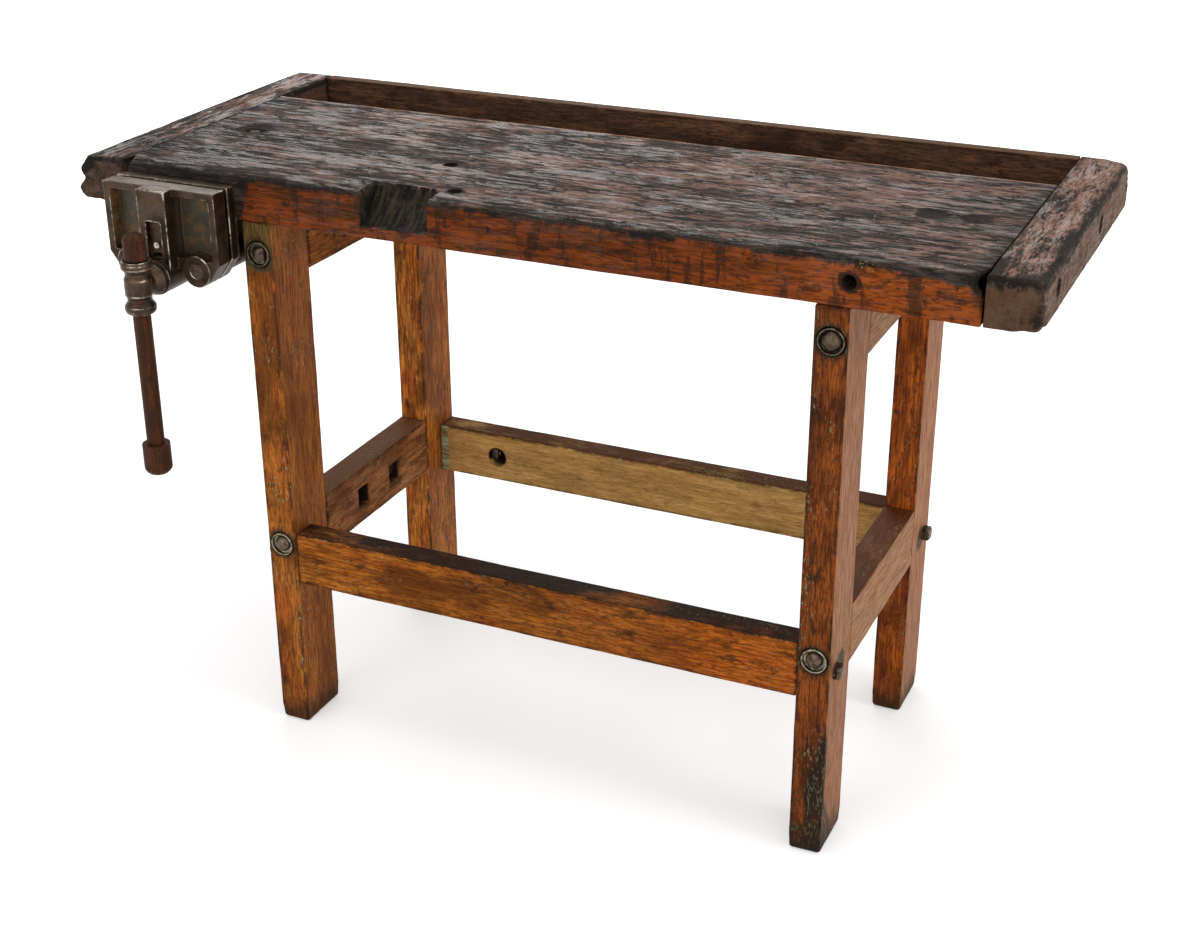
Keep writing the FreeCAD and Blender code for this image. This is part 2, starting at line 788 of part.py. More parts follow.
def make_wooden_top_and_frame():
    save("bench_top_slab", make_slab())
    save("left_end_cap", make_cap(cap_ends["left"]))
    save("right_end_cap", make_cap(cap_ends["right"]))
    floor_seats = make_trough()
    for corner in corners:
        save(corner.name, cut(make_leg(corner), floor_seats))
    for side, is_right in (("left", False), ("right", True)):
        lag_holes = top_lag_holes(is_right)
        save(side + "_upper_rail", make_rail(is_right, upper_rail_bottom, upper_bolt_z, lag_holes))
        save(side + "_lower_rail", make_rail(is_right, lower_rail_bottom, lower_bolt_z, []))
    save("front_stretcher", make_stretcher(False))
    save("rear_stretcher", make_stretcher(True))


# ---------------------------------------------------------------- vise: jaws
def jaw_profile():
    """The outline both jaws share: square shoulders, then straight flanks to the guide bosses."""
    half = jaw_width / 2
    corner_x = half
    boss_x = guide_spacing / 2
    away = math.hypot(corner_x - boss_x, jaw_corner_z - guide_z)
    angle = math.atan2(jaw_corner_z - guide_z, corner_x - boss_x) - math.acos(guide_boss_radius / away)
    touch_x = boss_x + guide_boss_radius * math.cos(angle)
    touch_z = guide_z + guide_boss_radius * math.sin(angle)
    right = [(half, jaw_top), (half, jaw_corner_z), (touch_x, touch_z), (boss_x, guide_z)]
    left = [(-x, z) for x, z in reversed(right)]
    return [(vise_x + x, z) for x, z in right + left]


def jaw_plate(y0, y1):
    plate = extruded_y(jaw_profile(), y0, y1)
    discs = [y_rod(guide_boss_radius, x, y0, guide_z, y1 - y0) for x in guide_places]
    discs.append(y_rod(centre_boss_radius, vise_x, y0, screw_z, y1 - y0))
    return fuse([plate] + discs)


dog_front = block_front + dog_setback
dog_back = dog_front + dog_thickness
channel_back = dog_back + spring_room
channel_bottom = screw_z + centre_boss_radius
panel_bottom = guide_z + guide_boss_radius * panel_bottom_share
dog_bottom = jaw_top - dog_length
dog_screw_z = dog_bottom + dog_screw_height
slot_top = dog_screw_z + dog_screw_head_radius + dog_travel + dog_screw_room


def make_front_jaw():
    body = jaw_plate(front_jaw_front, front_jaw_back)
    block = box(vise_x - block_width / 2, vise_x + block_width / 2, block_front, web_front, screw_z, jaw_top)
    block = block.cut(y_rod(centre_boss_radius, vise_x, block_front, screw_z, block_proud))
    centre = y_rod(centre_boss_radius, vise_x, centre_boss_front, screw_z, front_jaw_back - centre_boss_front)
    guides = [y_rod(guide_boss_radius, x, guide_boss_front, guide_z, front_jaw_back - guide_boss_front)
              for x in guide_places]
    panels = []
    for side in (-1, 1):
        x0, x1 = sorted([vise_x + side * block_width / 2, vise_x + side * (jaw_width / 2 - jaw_frame_width)])
        panel = box(x0, x1, front_jaw_front, web_front, panel_bottom, jaw_top - jaw_frame_width)
        panels.append(cut(panel, guides))
    body = fuse([cut(body, panels), block, centre] + guides)

    half = dog_width / 2 + dog_play
    head_half = dog_head_width / 2 + dog_play
    head_front = block_front + dog_head_front - dog_play
    holes = [
        box(vise_x - half, vise_x + half, dog_front - dog_play, channel_back, channel_bottom, jaw_top),
        box(vise_x - half, vise_x + half, block_front, dog_front, channel_bottom, slot_top),
        box(vise_x - head_half, vise_x + head_half, head_front,
            head_front + dog_head_depth + 2 * dog_play, jaw_top - dog_head_height, jaw_top),
        y_rod(screw_radius + running_clearance, vise_x, centre_boss_front, screw_z,
              front_jaw_back - centre_boss_front),
        y_rod(collar_radius + collar_room, vise_x, front_jaw_back - collar_depth, screw_z, collar_depth),
    ]
    for x in guide_places:
        holes.append(y_rod(guide_radius + press_clearance, x, guide_boss_front, guide_z,
                           front_jaw_back - guide_boss_front))
        holes.append(guide_pin(x, press_clearance))
    save("vise_front_jaw", cut(body, holes))


def guide_pin(x, extra):
    """A pin up through the boss and across the guide rod."""
    middle_y = (guide_boss_front + front_jaw_back) / 2
    start = V(x, middle_y, guide_z - guide_boss_radius)
    return rod(guide_pin_radius + extra, start, UP, guide_pin_depth)


def make_guides():
    rods, pins, nuts = [], [], []
    nut = square_nut(guide_nut_width, guide_nut_thickness, guide_thread_radius + thread_clearance)
    start_y = guide_boss_front + guide_end_recess
    end_y = yoke_back + guide_nut_thickness + bolt_overrun
    for x in guide_places:
        thick = y_rod(guide_radius, x, start_y, guide_z, yoke_front - start_y)
        thin = y_rod(guide_thread_radius, x, yoke_front, guide_z, end_y - yoke_front)
        rods.append(fuse([thick, thin]).cut(guide_pin(x, press_clearance)))
        pins.append(guide_pin(x, 0))
        nuts.append(along(nut, V(x, yoke_back, guide_z), OUT_Y))
    save("left_guide_rod", rods[0])
    save("right_guide_rod", rods[1])
    save("guide_rod_pins", pins)
    save("guide_rod_nuts", nuts)

    yoke = box(vise_x - yoke_width / 2, vise_x + yoke_width / 2, yoke_front, yoke_back,
               screw_z - yoke_margin, guide_z + yoke_margin)
    yoke = eased(yoke, yoke_corner, lambda edge: runs_along(edge, OUT_Y))
    bores = [y_rod(guide_thread_radius + press_clearance, x, yoke_front, guide_z, yoke_thickness)
             for x in guide_places]
    bores.append(y_rod(screw_tail_radius + running_clearance, vise_x, yoke_front, screw_z, yoke_thickness))
    save("guide_rod_yoke", cut(yoke, bores))


nut_front = nut_setback
set_screw_end = screw_z - nut_radius + set_screw_bite
set_screw_length = nut_housing_radius - nut_radius + set_screw_bite


def make_rear_jaw():
    plate = jaw_plate(-rear_jaw_thickness, 0)
    half = base_plate_width / 2
    base = box(vise_x - half, vise_x + half, 0, base_plate_depth, base_plate_bottom, top_underside)
    solids = [plate, base]
    for x in guide_places:
        solids.append(y_rod(sleeve_radius, x, 0, guide_z, sleeve_length))
        solids.append(box(x - sleeve_web / 2, x + sleeve_web / 2, 0, sleeve_length,
                          guide_z, base_plate_bottom))
    solids.append(y_rod(nut_housing_radius, vise_x, 0, screw_z, nut_housing_length))
    solids.append(box(vise_x - nut_web / 2, vise_x + nut_web / 2, 0, nut_housing_length,
                      screw_z, base_plate_bottom))
    holes = [y_rod(guide_radius + running_clearance, x, -rear_jaw_thickness, guide_z,
                   rear_jaw_thickness + sleeve_length) for x in guide_places]
    holes.append(y_rod(screw_passage_radius, vise_x, -rear_jaw_thickness, screw_z,
                       rear_jaw_thickness + nut_front))
    holes.append(y_rod(nut_radius + press_clearance, vise_x, nut_front, screw_z, nut_housing_length))
    holes.append(rod(set_screw_radius + press_clearance, V(vise_x, set_screw_y, screw_z - nut_housing_radius),
                     UP, set_screw_length))
    for place in vise_lag_places():
        holes.append(rod(vise_lag_radius + hole_clearance, place, UP, base_plate_thickness))
    holes.append(rod(hanger_radius + hole_clearance, V(hanger_x, hanger_y, base_plate_bottom), UP,
                     base_plate_thickness))
    seat = wood_screw_seat(jaw_screw_radius, jaw_screw_length, jaw_screw_head_radius)
    holes += [along(seat, place, OUT_Y) for place in jaw_screw_places()]
    save("vise_rear_jaw", cut(fuse(solids), holes))


def make_vise_fixings():
    nut = y_rod(nut_radius, vise_x, nut_front, screw_z, nut_length)
    bore = y_rod(screw_radius + running_clearance, vise_x, nut_front, screw_z, nut_length)
    dimple = rod(set_screw_radius + press_clearance,
                 V(vise_x, set_screw_y, screw_z - nut_radius - set_screw_bite), UP, 2 * set_screw_bite)
    save("vise_nut", cut(nut, [bore, dimple]))
    save("vise_nut_set_screw", rod(set_screw_radius, V(vise_x, set_screw_y, set_screw_end - set_screw_length),
                                   UP, set_screw_length))
    lag = lag_screw(vise_lag_radius, vise_lag_length, lag_head_width, lag_head_height)
    save("vise_mounting_lag_screws", [along(lag, place, UP) for place in vise_lag_places()])
    screw = wood_screw(jaw_screw_radius, jaw_screw_length, jaw_screw_head_radius)
    save("rear_jaw_wood_screws", [along(screw, place, OUT_Y) for place in jaw_screw_places()])

    seat = top_height - hanger_recess_depth
    shank_end = base_plate_bottom - hanger_nut_thickness - bolt_overrun
    crown = hanger_head_radius * head_crown_radius_share
    shoulder = hanger_head_height * head_crown_height_share
    head = revolved([(0, 0), (hanger_head_radius, 0), (hanger_head_radius, shoulder),
                     (crown, hanger_head_height), (0, hanger_head_height)])
    head.translate(V(hanger_x, hanger_y, seat))
    shank = rod(hanger_radius, V(hanger_x, hanger_y, shank_end), UP, seat - shank_end)
    save("vise_hanger_bolt", fuse([head, shank]))
    hanger_nut = square_nut(hanger_nut_width, hanger_nut_thickness, hanger_radius + thread_clearance)
    save("vise_hanger_nut", along(hanger_nut, V(hanger_x, hanger_y, base_plate_bottom), -UP))


# ---------------------------------------------------------------- vise: screw and handle
tenon_front = handle_y + handle_radius + hub_tenon_wall


def make_screw():
    thread_end = yoke_front - end_clearance
    sections = [
        y_rod(hub_tenon_radius, vise_x, tenon_front, screw_z, hub_back - tenon_front),
        y_rod(screw_radius, vise_x, hub_back, screw_z, thread_end - hub_back),
        y_rod(screw_tail_radius, vise_x, thread_end, screw_z, yoke_back + screw_tail_overrun - thread_end),
    ]
    pins = [collar_pin(press_clearance), hub_pin(press_clearance)]
    save("vise_screw", cut(fuse(sections), pins))
    collar_front = front_jaw_back - collar_depth + end_clearance
    collar = y_rod(collar_radius, vise_x, collar_front, screw_z, collar_depth - 2 * end_clearance)
    bore = y_rod(screw_radius + press_clearance, vise_x, collar_front, screw_z, collar_depth)
    save("thrust_collar", cut(collar, [bore, collar_pin(press_clearance)]))
    save("thrust_collar_pin", collar_pin(0))


def collar_pin(extra):
    middle_y = front_jaw_back - collar_depth / 2
    start = V(vise_x, middle_y, screw_z - collar_radius)
    return rod(collar_pin_radius + extra, start, UP, 2 * collar_radius)


def hub_pin(extra):
    middle_y = (hub_back + tenon_front) / 2
    start = V(vise_x, middle_y, screw_z - hub_pin_length / 2)
    return rod(hub_pin_radius + extra, start, UP, hub_pin_length)


def make_handle_socket():
    """An iron head: a flange against the jaw, a neck, and an upright socket with a ring at each end."""
    neck_y = handle_y + socket_neck_radius
    flange_front = hub_back - hub_flange_thickness
    flange = y_rod(hub_flange_radius, vise_x, flange_front, screw_z, hub_flange_thickness)
    taper = Part.makeCone(hub_neck_radius, hub_flange_radius, flange_front - neck_y,
                          V(vise_x, neck_y, screw_z), OUT_Y)
    neck = y_rod(hub_neck_radius, vise_x, handle_y, screw_z, neck_y - handle_y)
    half, ring, rounding = socket_half_height, socket_ring_height, socket_round
    upper = [
        (socket_barrel_radius, 0),
        (socket_barrel_radius, socket_barrel_half - rounding / 2),
        (socket_neck_radius, socket_barrel_half + rounding / 2),
        (socket_neck_radius, half - ring - rounding / 2),
        (socket_ring_radius, half - ring + rounding),
        (socket_ring_radius, half - rounding),
        (socket_ring_radius - rounding / 2, half),
    ]
    lower = [(radius, -height) for radius, height in reversed(upper[1:])]
    socket = revolved([(0, -half)] + lower + upper + [(0, half)])
    socket.translate(V(vise_x, handle_y, screw_z))
    holes = [
        rod(handle_radius + handle_clearance, V(vise_x, handle_y, screw_z - half), UP, 2 * half),
        y_rod(hub_tenon_radius + press_clearance, vise_x, tenon_front, screw_z, hub_back - tenon_front),
        hub_pin(press_clearance),
    ]
    save("handle_socket", cut(fuse([socket, neck, taper, flange]), holes))
    save("handle_socket_pin", hub_pin(0))


handle_rest = screw_z + socket_half_height + end_clearance
handle_low_end = screw_z - socket_half_height - end_clearance - handle_travel


def make_knob(radius, height):
    """A turned knob on Z = 0, its far edge rounded."""
    knob = rod(radius, V(0, 0, 0), UP, height)
    return eased(knob, knob_round, lambda edge: near(edge.CenterOfMass.z, height))


def make_handle():
    place = V(vise_x, handle_y, handle_low_end)
    grip = rod(handle_radius, place, UP, handle_rest - handle_low_end)
    upper_tenon = rod(tenon_radius, V(vise_x, handle_y, handle_rest), UP, tenon_length)
    lower_tenon = rod(tenon_radius, place, -UP, tenon_length)
    knobs = [
        ("handle_top_knob", handle_rest, UP, handle_top_knob_radius, handle_top_knob_height),
        ("handle_bottom_knob", handle_low_end, -UP, handle_bottom_knob_radius, handle_bottom_knob_height),
    ]
    pins, pin_holes = [], []
    for name, level, way, radius, height in knobs:
        seat = V(vise_x, handle_y, level)
        start = seat + way * (tenon_length / 2) - OUT_X * radius
        pins.append(rod(knob_pin_radius, start, OUT_X, 2 * radius))
        pin_hole = rod(knob_pin_radius + press_clearance, start, OUT_X, 2 * radius)
        pin_holes.append(pin_hole)
        knob = along(make_knob(radius, height), seat, way)
        bore = rod(tenon_radius + press_clearance, seat, way, tenon_length + press_clearance)
        save(name, cut(knob, [bore, pin_hole]))
    save("handle_rod", cut(fuse([grip, upper_tenon, lower_tenon]), pin_holes))
    save("handle_knob_pins", pins)


# ---------------------------------------------------------------- vise: jaw dog
def make_dog():
    half = dog_width / 2
    bar = box(vise_x - half, vise_x + half, dog_front, dog_back, dog_bottom, jaw_top)
    head_half = dog_head_width / 2
    head_y = block_front + dog_head_front
    head = box(vise_x - head_half, vise_x + head_half, head_y, head_y + dog_head_depth,
               jaw_top - dog_head_height + dog_play, jaw_top)
    hole = y_rod(dog_screw_radius + press_clearance, vise_x, dog_front, dog_screw_z, dog_thickness)
    save("jaw_dog", fuse([bar, head]).cut(hole))

    tab_bottom = dog_screw_z - spring_tab / 2
    tab_top = dog_screw_z + spring_tab / 2
    bow_top = tab_top + spring_bow_length
    bow = spring_room - dog_play - spring_leaf
    x = vise_x - spring_width / 2

    def point(out, z):
        return V(x, dog_back + out, z)

    def bowed(out, z0, z1):
        return Part.Arc(point(out, z0), point(out + bow, (z0 + z1) / 2), point(out, z1)).toShape()

    edges = [
        Part.makeLine(point(0, tab_bottom), point(0, tab_top)),
        bowed(0, tab_top, bow_top),
        Part.makeLine(point(0, bow_top), point(spring_leaf, bow_top)),
        bowed(spring_leaf, bow_top, tab_top),
        Part.makeLine(point(spring_leaf, tab_top), point(spring_leaf, tab_bottom)),
        Part.makeLine(point(spring_leaf, tab_bottom), point(0, tab_bottom)),
    ]
    leaf = Part.Face(Part.Wire(edges)).extrude(V(spring_width, 0, 0))
    leaf_hole = y_rod(dog_screw_radius + press_clearance, vise_x, dog_back, dog_screw_z, spring_leaf)
    save("jaw_dog_spring", leaf.cut(leaf_hole))

    head = rod(dog_screw_head_radius, V(vise_x, dog_front - dog_screw_head_height, dog_screw_z),
               OUT_Y, dog_screw_head_height)
    shank = y_rod(dog_screw_radius, vise_x, dog_front, dog_screw_z, dog_thickness + 2 * spring_leaf)
    head_front = V(vise_x, dog_front - dog_screw_head_height, dog_screw_z)
    slot = along(screw_slot(dog_screw_head_radius), head_front, OUT_Y)
    save("jaw_dog_screw", fuse([head, shank]).cut(slot))


# ---------------------------------------------------------------- build
def main():
    make_wooden_top_and_frame()
    make_frame_bolts()
    make_top_lags()
    make_cap_fasteners()
    make_front_jaw()
    make_guides()
    make_rear_jaw()
    make_vise_fixings()
    make_screw()
    make_handle_socket()
    make_handle()
    make_dog()
    os.makedirs("parts", exist_ok=True)
    for name, shape in nodes.items():
        shape.exportStep("parts/" + name + ".step")
    print(len(nodes), "nodes, origin", origin)


main()
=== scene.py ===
"""The looks of an old woodworking bench with an iron vise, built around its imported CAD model."""

import json
import math

import bmesh
import bpy
import numpy as np
from mathutils import Matrix, Vector, noise


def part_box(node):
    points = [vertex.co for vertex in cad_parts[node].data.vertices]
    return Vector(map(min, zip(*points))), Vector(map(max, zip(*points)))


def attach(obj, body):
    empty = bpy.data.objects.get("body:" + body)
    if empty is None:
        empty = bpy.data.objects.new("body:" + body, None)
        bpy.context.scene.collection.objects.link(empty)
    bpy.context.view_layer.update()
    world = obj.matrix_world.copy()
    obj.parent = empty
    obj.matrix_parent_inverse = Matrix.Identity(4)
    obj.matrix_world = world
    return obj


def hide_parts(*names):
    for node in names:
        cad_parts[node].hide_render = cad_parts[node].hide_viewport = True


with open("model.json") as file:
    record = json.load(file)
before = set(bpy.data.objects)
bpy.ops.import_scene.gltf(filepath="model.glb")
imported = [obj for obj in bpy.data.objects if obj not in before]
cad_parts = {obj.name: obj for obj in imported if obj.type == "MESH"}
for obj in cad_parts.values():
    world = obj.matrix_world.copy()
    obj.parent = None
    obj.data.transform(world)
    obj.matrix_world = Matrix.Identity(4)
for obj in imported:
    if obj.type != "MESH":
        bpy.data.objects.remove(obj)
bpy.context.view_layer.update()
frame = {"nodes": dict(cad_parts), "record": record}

MM = 0.001
X, Y, Z = 0, 1, 2

slab_low, slab_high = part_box("bench_top_slab")
bench_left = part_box("left_end_cap")[0].x
bench_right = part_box("right_end_cap")[1].x
bench_front = slab_low.y
bench_top = slab_high.z

# Places on the bench, in millimetres from its left end, its front and the floor.
TOP = 838
RIGHT_SEAM = 1251
RIGHT_END = 1318
LEG_X = {"left": 277.5, "right": 1075.5}
OUTSIDE_X = {"left": 255, "right": 1098}
FACE_Y = {"front": 0, "rear": 475}
STRETCHER_Y = {"front": 44, "rear": 431}
BOLT_HEIGHTS = (730.5, 295.5)
STRETCHER_BOLT_HEIGHT = 274.5

# Spots on the bench: x, y, z and radius.
DOG_HOLE_STAINS = [(489.5, 157, TOP, 18), (553, 50, TOP, 20)]
PEG_HOLE_STAIN = (1093, 0, 806, 20)
KNOT = (623.7, 0, 809.3, 6)
SEAM_STAIN = (RIGHT_SEAM, 0, 830, 30)
HOLLOWS = [(1136, 202, TOP, 26), (1191, 205, TOP, 24), (144, 208, TOP, 30)]
PAINT_ON_SLAB = (1112, 2, 829, 12)
PAINT_ON_LEG = (LEG_X["left"], 0, 748, 52)
LEFT_CAP_STAIN = (8, 4, 824, 20)
RIGHT_CAP_BOLT_STAINS = [(RIGHT_END, y, 806, 18) for y in (83, 343)]


def place(x, y, z):
    """A point measured in millimetres from the bench's left end, its front and the floor."""
    return Vector((bench_left + x * MM, bench_front + y * MM, z * MM))


# ---------------- meshes


def link(name, data):
    """A new object of this mesh, light or camera in the scene."""
    made = bpy.data.objects.new(name, data)
    bpy.context.scene.collection.objects.link(made)
    return made


def mesh_of(name, points, faces):
    """A mesh of four-sided faces."""
    mesh = bpy.data.meshes.new(name)
    mesh.from_pydata(points.tolist(), [], faces.tolist())
    mesh.update()
    return mesh


def rows_of(items, name):
    """One vector of each item, as rows of x, y and z."""
    flat = np.empty(len(items) * 3)
    items.foreach_get(name, flat)
    return flat.reshape(-1, 3)


def points_of(mesh):
    return rows_of(mesh.vertices, "co")


def normals_of(mesh):
    return rows_of(mesh.vertex_normals, "vector")


def set_points(mesh, points):
    mesh.vertices.foreach_set("co", points.ravel())
    mesh.update()


def set_value(mesh, name, values):
    """Stores one number for each point of the mesh, for its material to read."""
    layer = mesh.attributes.new(name, "FLOAT", "POINT")
    layer.data.foreach_set("value", np.asarray(values, np.float32))


def modify(piece, kind, **settings):
    """Adds one modifier with these settings and applies it."""
    modifier = piece.modifiers.new(kind.lower(), kind)
    for key, value in settings.items():
        setattr(modifier, key, value)
    graph = bpy.context.evaluated_depsgraph_get()
    mesh = bpy.data.meshes.new_from_object(piece.evaluated_get(graph))
    piece.modifiers.clear()
    piece.data = mesh


def shade(piece, angle=35):
    """Smooth shading, with edges sharper than the angle left crisp."""
    piece.data.shade_smooth()
    piece.data.set_sharp_from_angle(angle=math.radians(angle))


def closed_copy(node):
    """A closed mesh of a CAD node, whose own mesh has its faces apart."""
    made = link(node + ".solid", frame["nodes"][node].data.copy())
    welded = bmesh.new()
    welded.from_mesh(made.data)
    bmesh.ops.remove_doubles(welded, verts=welded.verts, dist=0.001 * MM)
    welded.to_mesh(made.data)
    welded.free()
    made.data.materials.clear()
    return made


def finish_piece(piece, material, body, slot, *nodes):
    """Gives a piece its material and its body, and hides the nodes that it stands for. Its slot is not used.
    """
    piece.data.materials.clear()
    piece.data.materials.append(MATERIALS[material])
    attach(piece, body)
    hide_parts(*nodes)


# ---------------- measures of points


def from_left(points):
    return points[:, X] - bench_left


def from_right(points):
    return bench_right - points[:, X]


def from_front(points):
    return points[:, Y] - bench_front


def below_top(points):
    return bench_top - points[:, Z]


def distance_from(points, centre):
    return np.linalg.norm(points - np.array(centre), axis=1)


def smooth_step(values, low, high):
    """0 at low, 1 at high, with a smooth run between. Low may be the larger."""
    t = np.clip((values - low) / (high - low), 0, 1)
    return t * t * (3 - 2 * t)


def fade(lengths, low, high):
    """The same for lengths in metres, with low and high in millimetres."""
    return smooth_step(lengths, low * MM, high * MM)


def near_spots(points, spots):
    """How close each point is to a spot: 1 near its middle, 0 from its radius on."""
    closeness = np.zeros(len(points))
    for x, y, z, radius in spots:
        distance = distance_from(points, place(x, y, z))
        closeness = np.maximum(closeness, fade(distance, radius, radius * 0.45))
    return closeness


def noise_at(points, frequency, seed=0.0):
    """Smooth noise from about -1 to 1, in cycles per metre: one number, or one for each direction."""
    return np.array([noise.noise(p) for p in (points * np.array(frequency) + seed).tolist()])


def along(axis, lengthwise, crosswise):
    """Three numbers, for X, Y and Z: one for the axis and the other for the two across it."""
    return [lengthwise if a == axis else crosswise for a in (X, Y, Z)]


# ---------------- worn boards


def lattice_box(cuts):
    """The points and faces of a box whose edges along X, Y and Z are divided at the cuts."""
    corners = []
    for axis in (X, Y, Z):
        u, v = (axis + 1) % 3, (axis + 2) % 3
        grid_u, grid_v = np.meshgrid(range(len(cuts[u]) - 1), range(len(cuts[v]) - 1), indexing="ij")
        for side in (0, len(cuts[axis]) - 1):
            quads = np.zeros(grid_u.shape + (4, 3), int)
            quads[..., axis] = side
            quads[..., u] = grid_u[..., None] + np.array([0, 1, 1, 0])
            quads[..., v] = grid_v[..., None] + np.array([0, 0, 1, 1])
            outward = quads if side else quads[:, :, ::-1]
            corners.append(outward.reshape(-1, 3))
    indices, faces = np.unique(np.concatenate(corners), axis=0, return_inverse=True)
    points = np.stack([np.asarray(cuts[a])[indices[:, a]] for a in (X, Y, Z)], axis=1)
    return points, faces.reshape(-1, 4)


def edge_cuts(low, high, spacing, rim):
    """Divisions of one edge: close together over the rounded rim at both ends, even between."""
    near_end = rim * np.array([0, 0.12, 0.35, 0.65])
    count = max(2, round((high - low - 2 * rim) / spacing))
    middle = np.linspace(low + rim, high - rim, count + 1)
    return np.concatenate([low + near_end, middle, (high - near_end)[::-1]])


def no_wear(points, *others):
    """For a board that is only worn evenly."""
    return np.zeros(len(points))


SKIN = 0.2 * MM


def worn_shape(low, high, grain, spacing, rims, relief, carve, widest):
    """The points and faces of a box with rounded edges and a furrowed and dented skin."""
    gaps = along(grain, *spacing)
    points, faces = lattice_box([edge_cuts(low[a], high[a], gaps[a] * MM, max(rims) * MM) for a in (X, Y, Z)])
    usual, largest = rims[0] * MM, rims[1] * MM
    uneven = noise_at(points, 16, seed=3.0)
    radius = ((usual + (largest - usual) * widest(points)) * (0.9 + 0.5 * uneven))[:, None]
    core = np.clip(points, low + radius, high - radius)
    reach = points - core
    normals = reach / np.linalg.norm(reach, axis=1)[:, None]
    points = core + normals * radius
    furrows = noise_at(points, along(grain, 9, 160), seed=11.0)
    fine = noise_at(points, along(grain, 30, 420), seed=17.0)
    dents = noise_at(points, 55, seed=23.0)
    depth = relief * MM * (0.35 + 0.45 * furrows + 0.3 * fine).clip(0)
    depth += relief * MM * 1.6 * (dents - 0.38).clip(0)
    depth += SKIN + carve(points, normals)
    return points - normals * depth[:, None], faces


def store_reach(mesh, low, high):
    """Stores how far each point lies from the board's faces and from its nearest edge."""
    points = points_of(mesh)
    reach = np.sort(np.minimum(points - low, high - points), axis=1)
    set_value(mesh, "inside", reach[:, 0])
    set_value(mesh, "edge", reach[:, 1])


def worn_board(node, grain, spacing, rims, relief, wood, slot, carve=no_wear, widest=no_wear, swell=None,
               band=no_wear, dirt=no_wear, stains=(), paint=(), cut=()):
    """An old board in the place of a CAD node: rounded, furrowed and dented in its faces, with its holes.

    In millimetres: the spacing of its points along the grain and across, the usual and the largest radius
    of its rims, and the relief, which is the depth of its furrows. Widest says where the rims are largest,
    from 0 to 1, carve adds the board's own wear, swell moves its points at the end, band is how far the dark
    top runs down its sides, and dirt, from 0 to 1, adds to its stained spots."""
    low, high = (np.array(corner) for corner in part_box(node))
    points, faces = worn_shape(low, high, grain, spacing, rims, relief, carve, widest)
    piece = link(node + ".worn", mesh_of(node + ".worn", points, faces))
    solid = closed_copy(node)
    modify(piece, "BOOLEAN", operation="INTERSECT", solver="EXACT", object=solid)
    for cutter in cut:
        modify(piece, "BOOLEAN", operation="DIFFERENCE", solver="EXACT", object=cutter)
        bpy.data.objects.remove(cutter)
    bpy.data.objects.remove(solid)
    store_reach(piece.data, low, high)
    shape = points_of(piece.data)
    set_value(piece.data, "below", below_top(shape) - band(shape))
    if swell:
        set_points(piece.data, shape + swell(shape))
    set_value(piece.data, "stain", np.maximum(near_spots(shape, stains), dirt(shape)))
    set_value(piece.data, "paint", near_spots(shape, paint))
    shade(piece)
    finish_piece(piece, wood, "bench", slot, node)


# ---------------- cast and turned pieces


def edges_of(mesh):
    flat_edges = np.empty(len(mesh.edges) * 2, int)
    mesh.edges.foreach_get("vertices", flat_edges)
    return flat_edges.reshape(-1, 2)


def neighbour_mean(values, edges):
    """The mean of each point's neighbours along the edges."""
    first, second = edges.T
    size = len(values)
    count = np.bincount(first, minlength=size) + np.bincount(second, minlength=size)
    total = [np.bincount(first, column[second], size) + np.bincount(second, column[first], size)
             for column in values.T]
    return np.stack(total, axis=1) / count[:, None]


def soften(points, edges, rounds):
    """Rounds corners off while it keeps the size."""
    for _ in range(rounds):
        for pull in (0.55, -0.53):
            points = points + pull * (neighbour_mean(points, edges) - points)
    return points


def ridge_of(points, normals, edges, voxel):
    """How far each place stands out of its surroundings: above 0 on edges, below 0 in corners."""
    out = ((points - neighbour_mean(points, edges)) * normals).sum(axis=1)[:, None] / voxel
    for _ in range(3):
        out = neighbour_mean(out, edges)
    return out[:, 0]


LUMPS = 0.12 * MM
LUMP_FREQUENCY = 130


def even_piece(node, voxel, rounds, hollow, rubbing_and_glint):
    """A CAD node's shape as one even skin with softened edges and a slightly uneven face.

    The rounds say how far the edges are softened, the rubbing how strongly they are rubbed bare and painted
    with highlights, and hollow where grime gathers, from 0 to 1, or up to 2 where a pale colour is painted as
    light into places in shade."""
    piece = closed_copy(node)
    piece.name = node + ".worn"
    modify(piece, "REMESH", mode="VOXEL", voxel_size=voxel)
    mesh = piece.data
    edges = edges_of(mesh)
    points = soften(points_of(mesh), edges, rounds)
    set_points(mesh, points)
    normals = normals_of(mesh)
    set_value(mesh, "ridge", ridge_of(points, normals, edges, voxel) * rubbing_and_glint)
    set_value(mesh, "hollow", hollow(points, normals))
    set_points(mesh, points + normals * (LUMPS * noise_at(points, LUMP_FREQUENCY))[:, None])
    mesh.shade_smooth()
    return piece


# ---------------- materials

MATERIALS = {}


def in_linear(colour):
    """A colour of three values, 0 to 255 as on a screen, in the renderer's linear values. Others stay."""
    if not isinstance(colour, tuple) or len(colour) != 3:
        return colour
    parts = [value / 255 for value in colour]
    return (*(v / 12.92 if v <= 0.04045 else ((v + 0.055) / 1.055) ** 2.4 for v in parts), 1.0)


